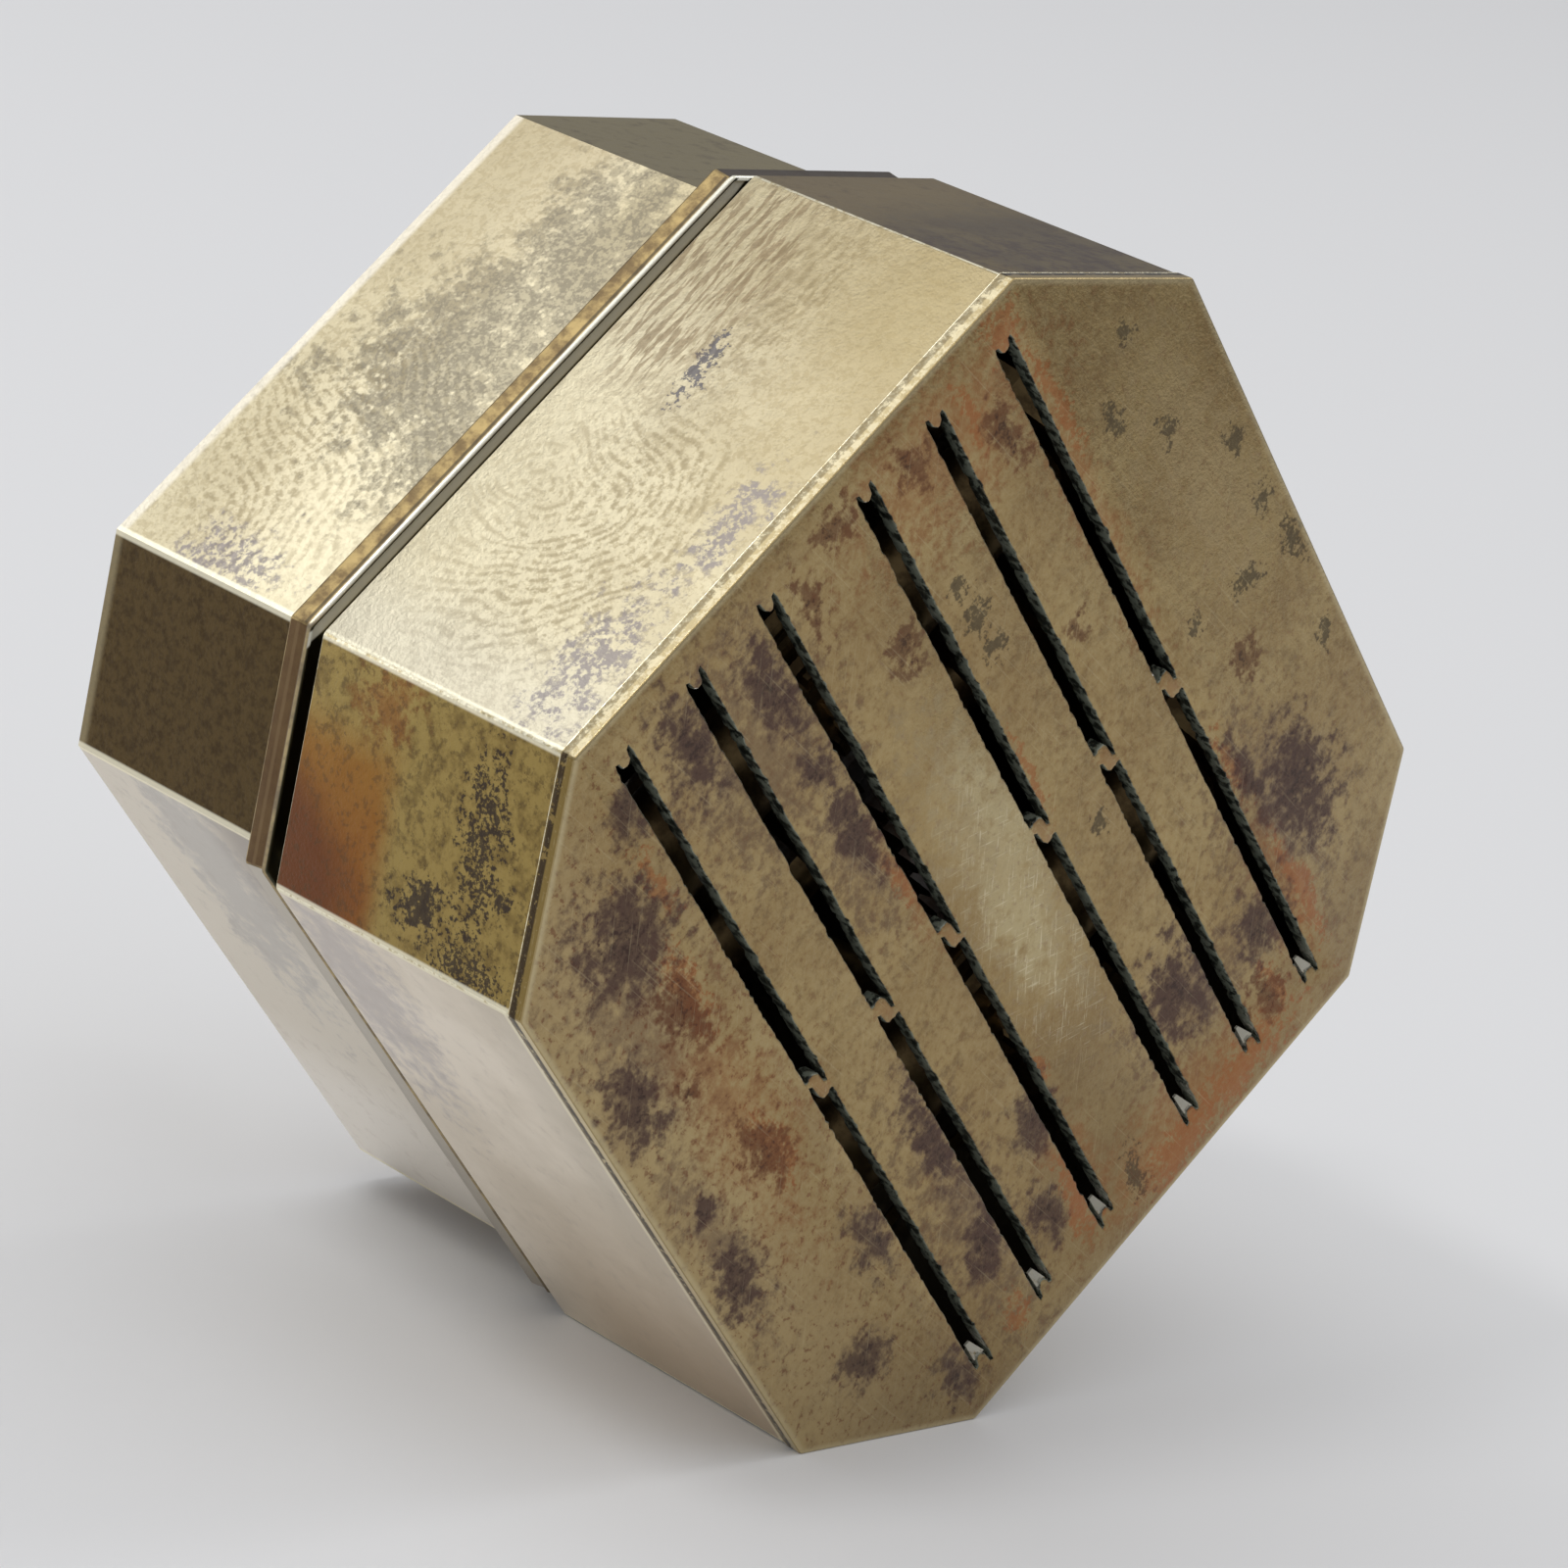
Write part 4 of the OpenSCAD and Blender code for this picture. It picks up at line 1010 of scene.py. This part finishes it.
FINISHES = {
    "sole_brass": sole_finish(),
    "cover_brass": wall_finish("cover_brass", 1.2),
    "case_brass": wall_finish("case_brass", 2.2, plate=True),
    "dark_brass": collar_finish(),
    "inner_brass": plain_metal("inner_brass", (0.30, 0.21, 0.10), (0.12, 0.08, 0.04)),
    "turned_brass": plain_metal("turned_brass", (0.52, 0.41, 0.22), (0.26, 0.19, 0.09), 0.28),
    "blue_steel": plain_metal("blue_steel", (0.05, 0.06, 0.09), (0.09, 0.06, 0.045), 0.38),
    "dark_steel": plain_metal("dark_steel", (0.16, 0.15, 0.145), (0.09, 0.06, 0.042), 0.4),
    "bright_steel": plain_metal("bright_steel", (0.26, 0.25, 0.24), (0.09, 0.07, 0.055), 0.36),
}


def dress(piece, finish):
    """Gives a piece one of the finishes and nothing else."""
    piece.data.materials.clear()
    piece.data.materials.append(FINISHES[finish])


for part in frame["record"]["subparts"]:
    dress(NODES[part["node"]], part["material_slot"])
dress(NODES["upper_case"], "case_brass")
dress(NODES["top_plate"], "case_brass")
dress(sole, "sole_brass")
dress(cover, "cover_brass")
dress(collar, "dark_brass")


# ---- light, floor and camera -----------------------------------------------------

FLOOR_SIZE = 4
FLOOR_GREY = (0.76, 0.765, 0.775, 1)
FLOOR_ROUGH = 0.6
SKY_LOW = (0.20, 0.20, 0.205, 1)
SKY_HIGH = (0.85, 0.85, 0.86, 1)

# name, offset from the middle of the box, size, power and whether it casts shadows
LIGHTS = [
    ("softbox_back", (-0.165, 0.39, 0.43), 0.38, 0.35, True),
    ("softbox_left", (-0.42, 0.07, 0.55), 0.12, 0.75, True),
    ("softbox_right", (0.46, -0.04, 0.52), 0.30, 0.55, True),
    ("fill", (-0.1, -0.1, 0.8), 0.3, 0.45, False),
    ("bounce_back", (-0.20, 0.36, 0.05), 0.2, 0.14, True),
]


def area_light(name, offset, size, power, shadow):
    """A round soft light that faces the middle of the box."""
    data = bpy.data.lights.new(name, "AREA")
    data.shape = "DISK"
    data.size = size
    data.energy = power
    data.use_shadow = shadow
    lamp = bpy.data.objects.new(name, data)
    bpy.context.scene.collection.objects.link(lamp)
    middle = Vector((0, USE[1][3] + TOP_HIGH.z / 2, FACET_REACH))
    lamp.location = middle + Vector(offset)
    lamp.rotation_euler = Vector(offset).to_track_quat("Z", "Y").to_euler()


def build_floor():
    """A plain pale floor."""
    bpy.ops.mesh.primitive_plane_add(size=FLOOR_SIZE)
    floor = bpy.context.object
    floor.name = "floor"
    material = bpy.data.materials.new("floor")
    material.use_nodes = True
    bsdf = material.node_tree.nodes["Principled BSDF"]
    bsdf.inputs["Base Color"].default_value = FLOOR_GREY
    bsdf.inputs["Roughness"].default_value = FLOOR_ROUGH
    floor.data.materials.append(material)


def build_sky():
    """Soft light from all round, darker toward the horizon."""
    world = bpy.data.worlds.new("studio")
    bpy.context.scene.world = world
    world.use_nodes = True
    tree = world.node_tree
    coords = tree.nodes.new("ShaderNodeTexCoord")
    height = tree.nodes.new("ShaderNodeSeparateXYZ")
    ramp = tree.nodes.new("ShaderNodeValToRGB")
    ramp.color_ramp.elements[0].position = 0.0
    ramp.color_ramp.elements[0].color = SKY_LOW
    ramp.color_ramp.elements[1].position = 1.0
    ramp.color_ramp.elements[1].color = SKY_HIGH
    tree.links.new(coords.outputs["Generated"], height.inputs[0])
    tree.links.new(height.outputs[2], ramp.inputs[0])
    tree.links.new(ramp.outputs[0], tree.nodes["Background"].inputs["Color"])


CAMERA_AT = (-0.16564, -0.14595, 0.08767)
CAMERA_TURN = (73.56, -11.516, -44.426)
CAMERA_LENS = 136.6
SENSOR = 36
CLIP_START = 0.01
CLIP_END = 20


def build_camera():
    """The camera at the photo's viewing angle."""
    data = bpy.data.cameras.new("camera")
    data.lens = CAMERA_LENS
    data.sensor_width = SENSOR
    data.clip_start = CLIP_START
    data.clip_end = CLIP_END
    camera = bpy.data.objects.new("camera", data)
    bpy.context.scene.collection.objects.link(camera)
    camera.location = CAMERA_AT
    camera.rotation_euler = [math.radians(a) for a in CAMERA_TURN]
    bpy.context.scene.camera = camera


build_floor()
build_sky()
for light in LIGHTS:
    area_light(*light)
bpy.context.scene.view_settings.view_transform = "Standard"
build_camera()

bpy.context.view_layer.update()
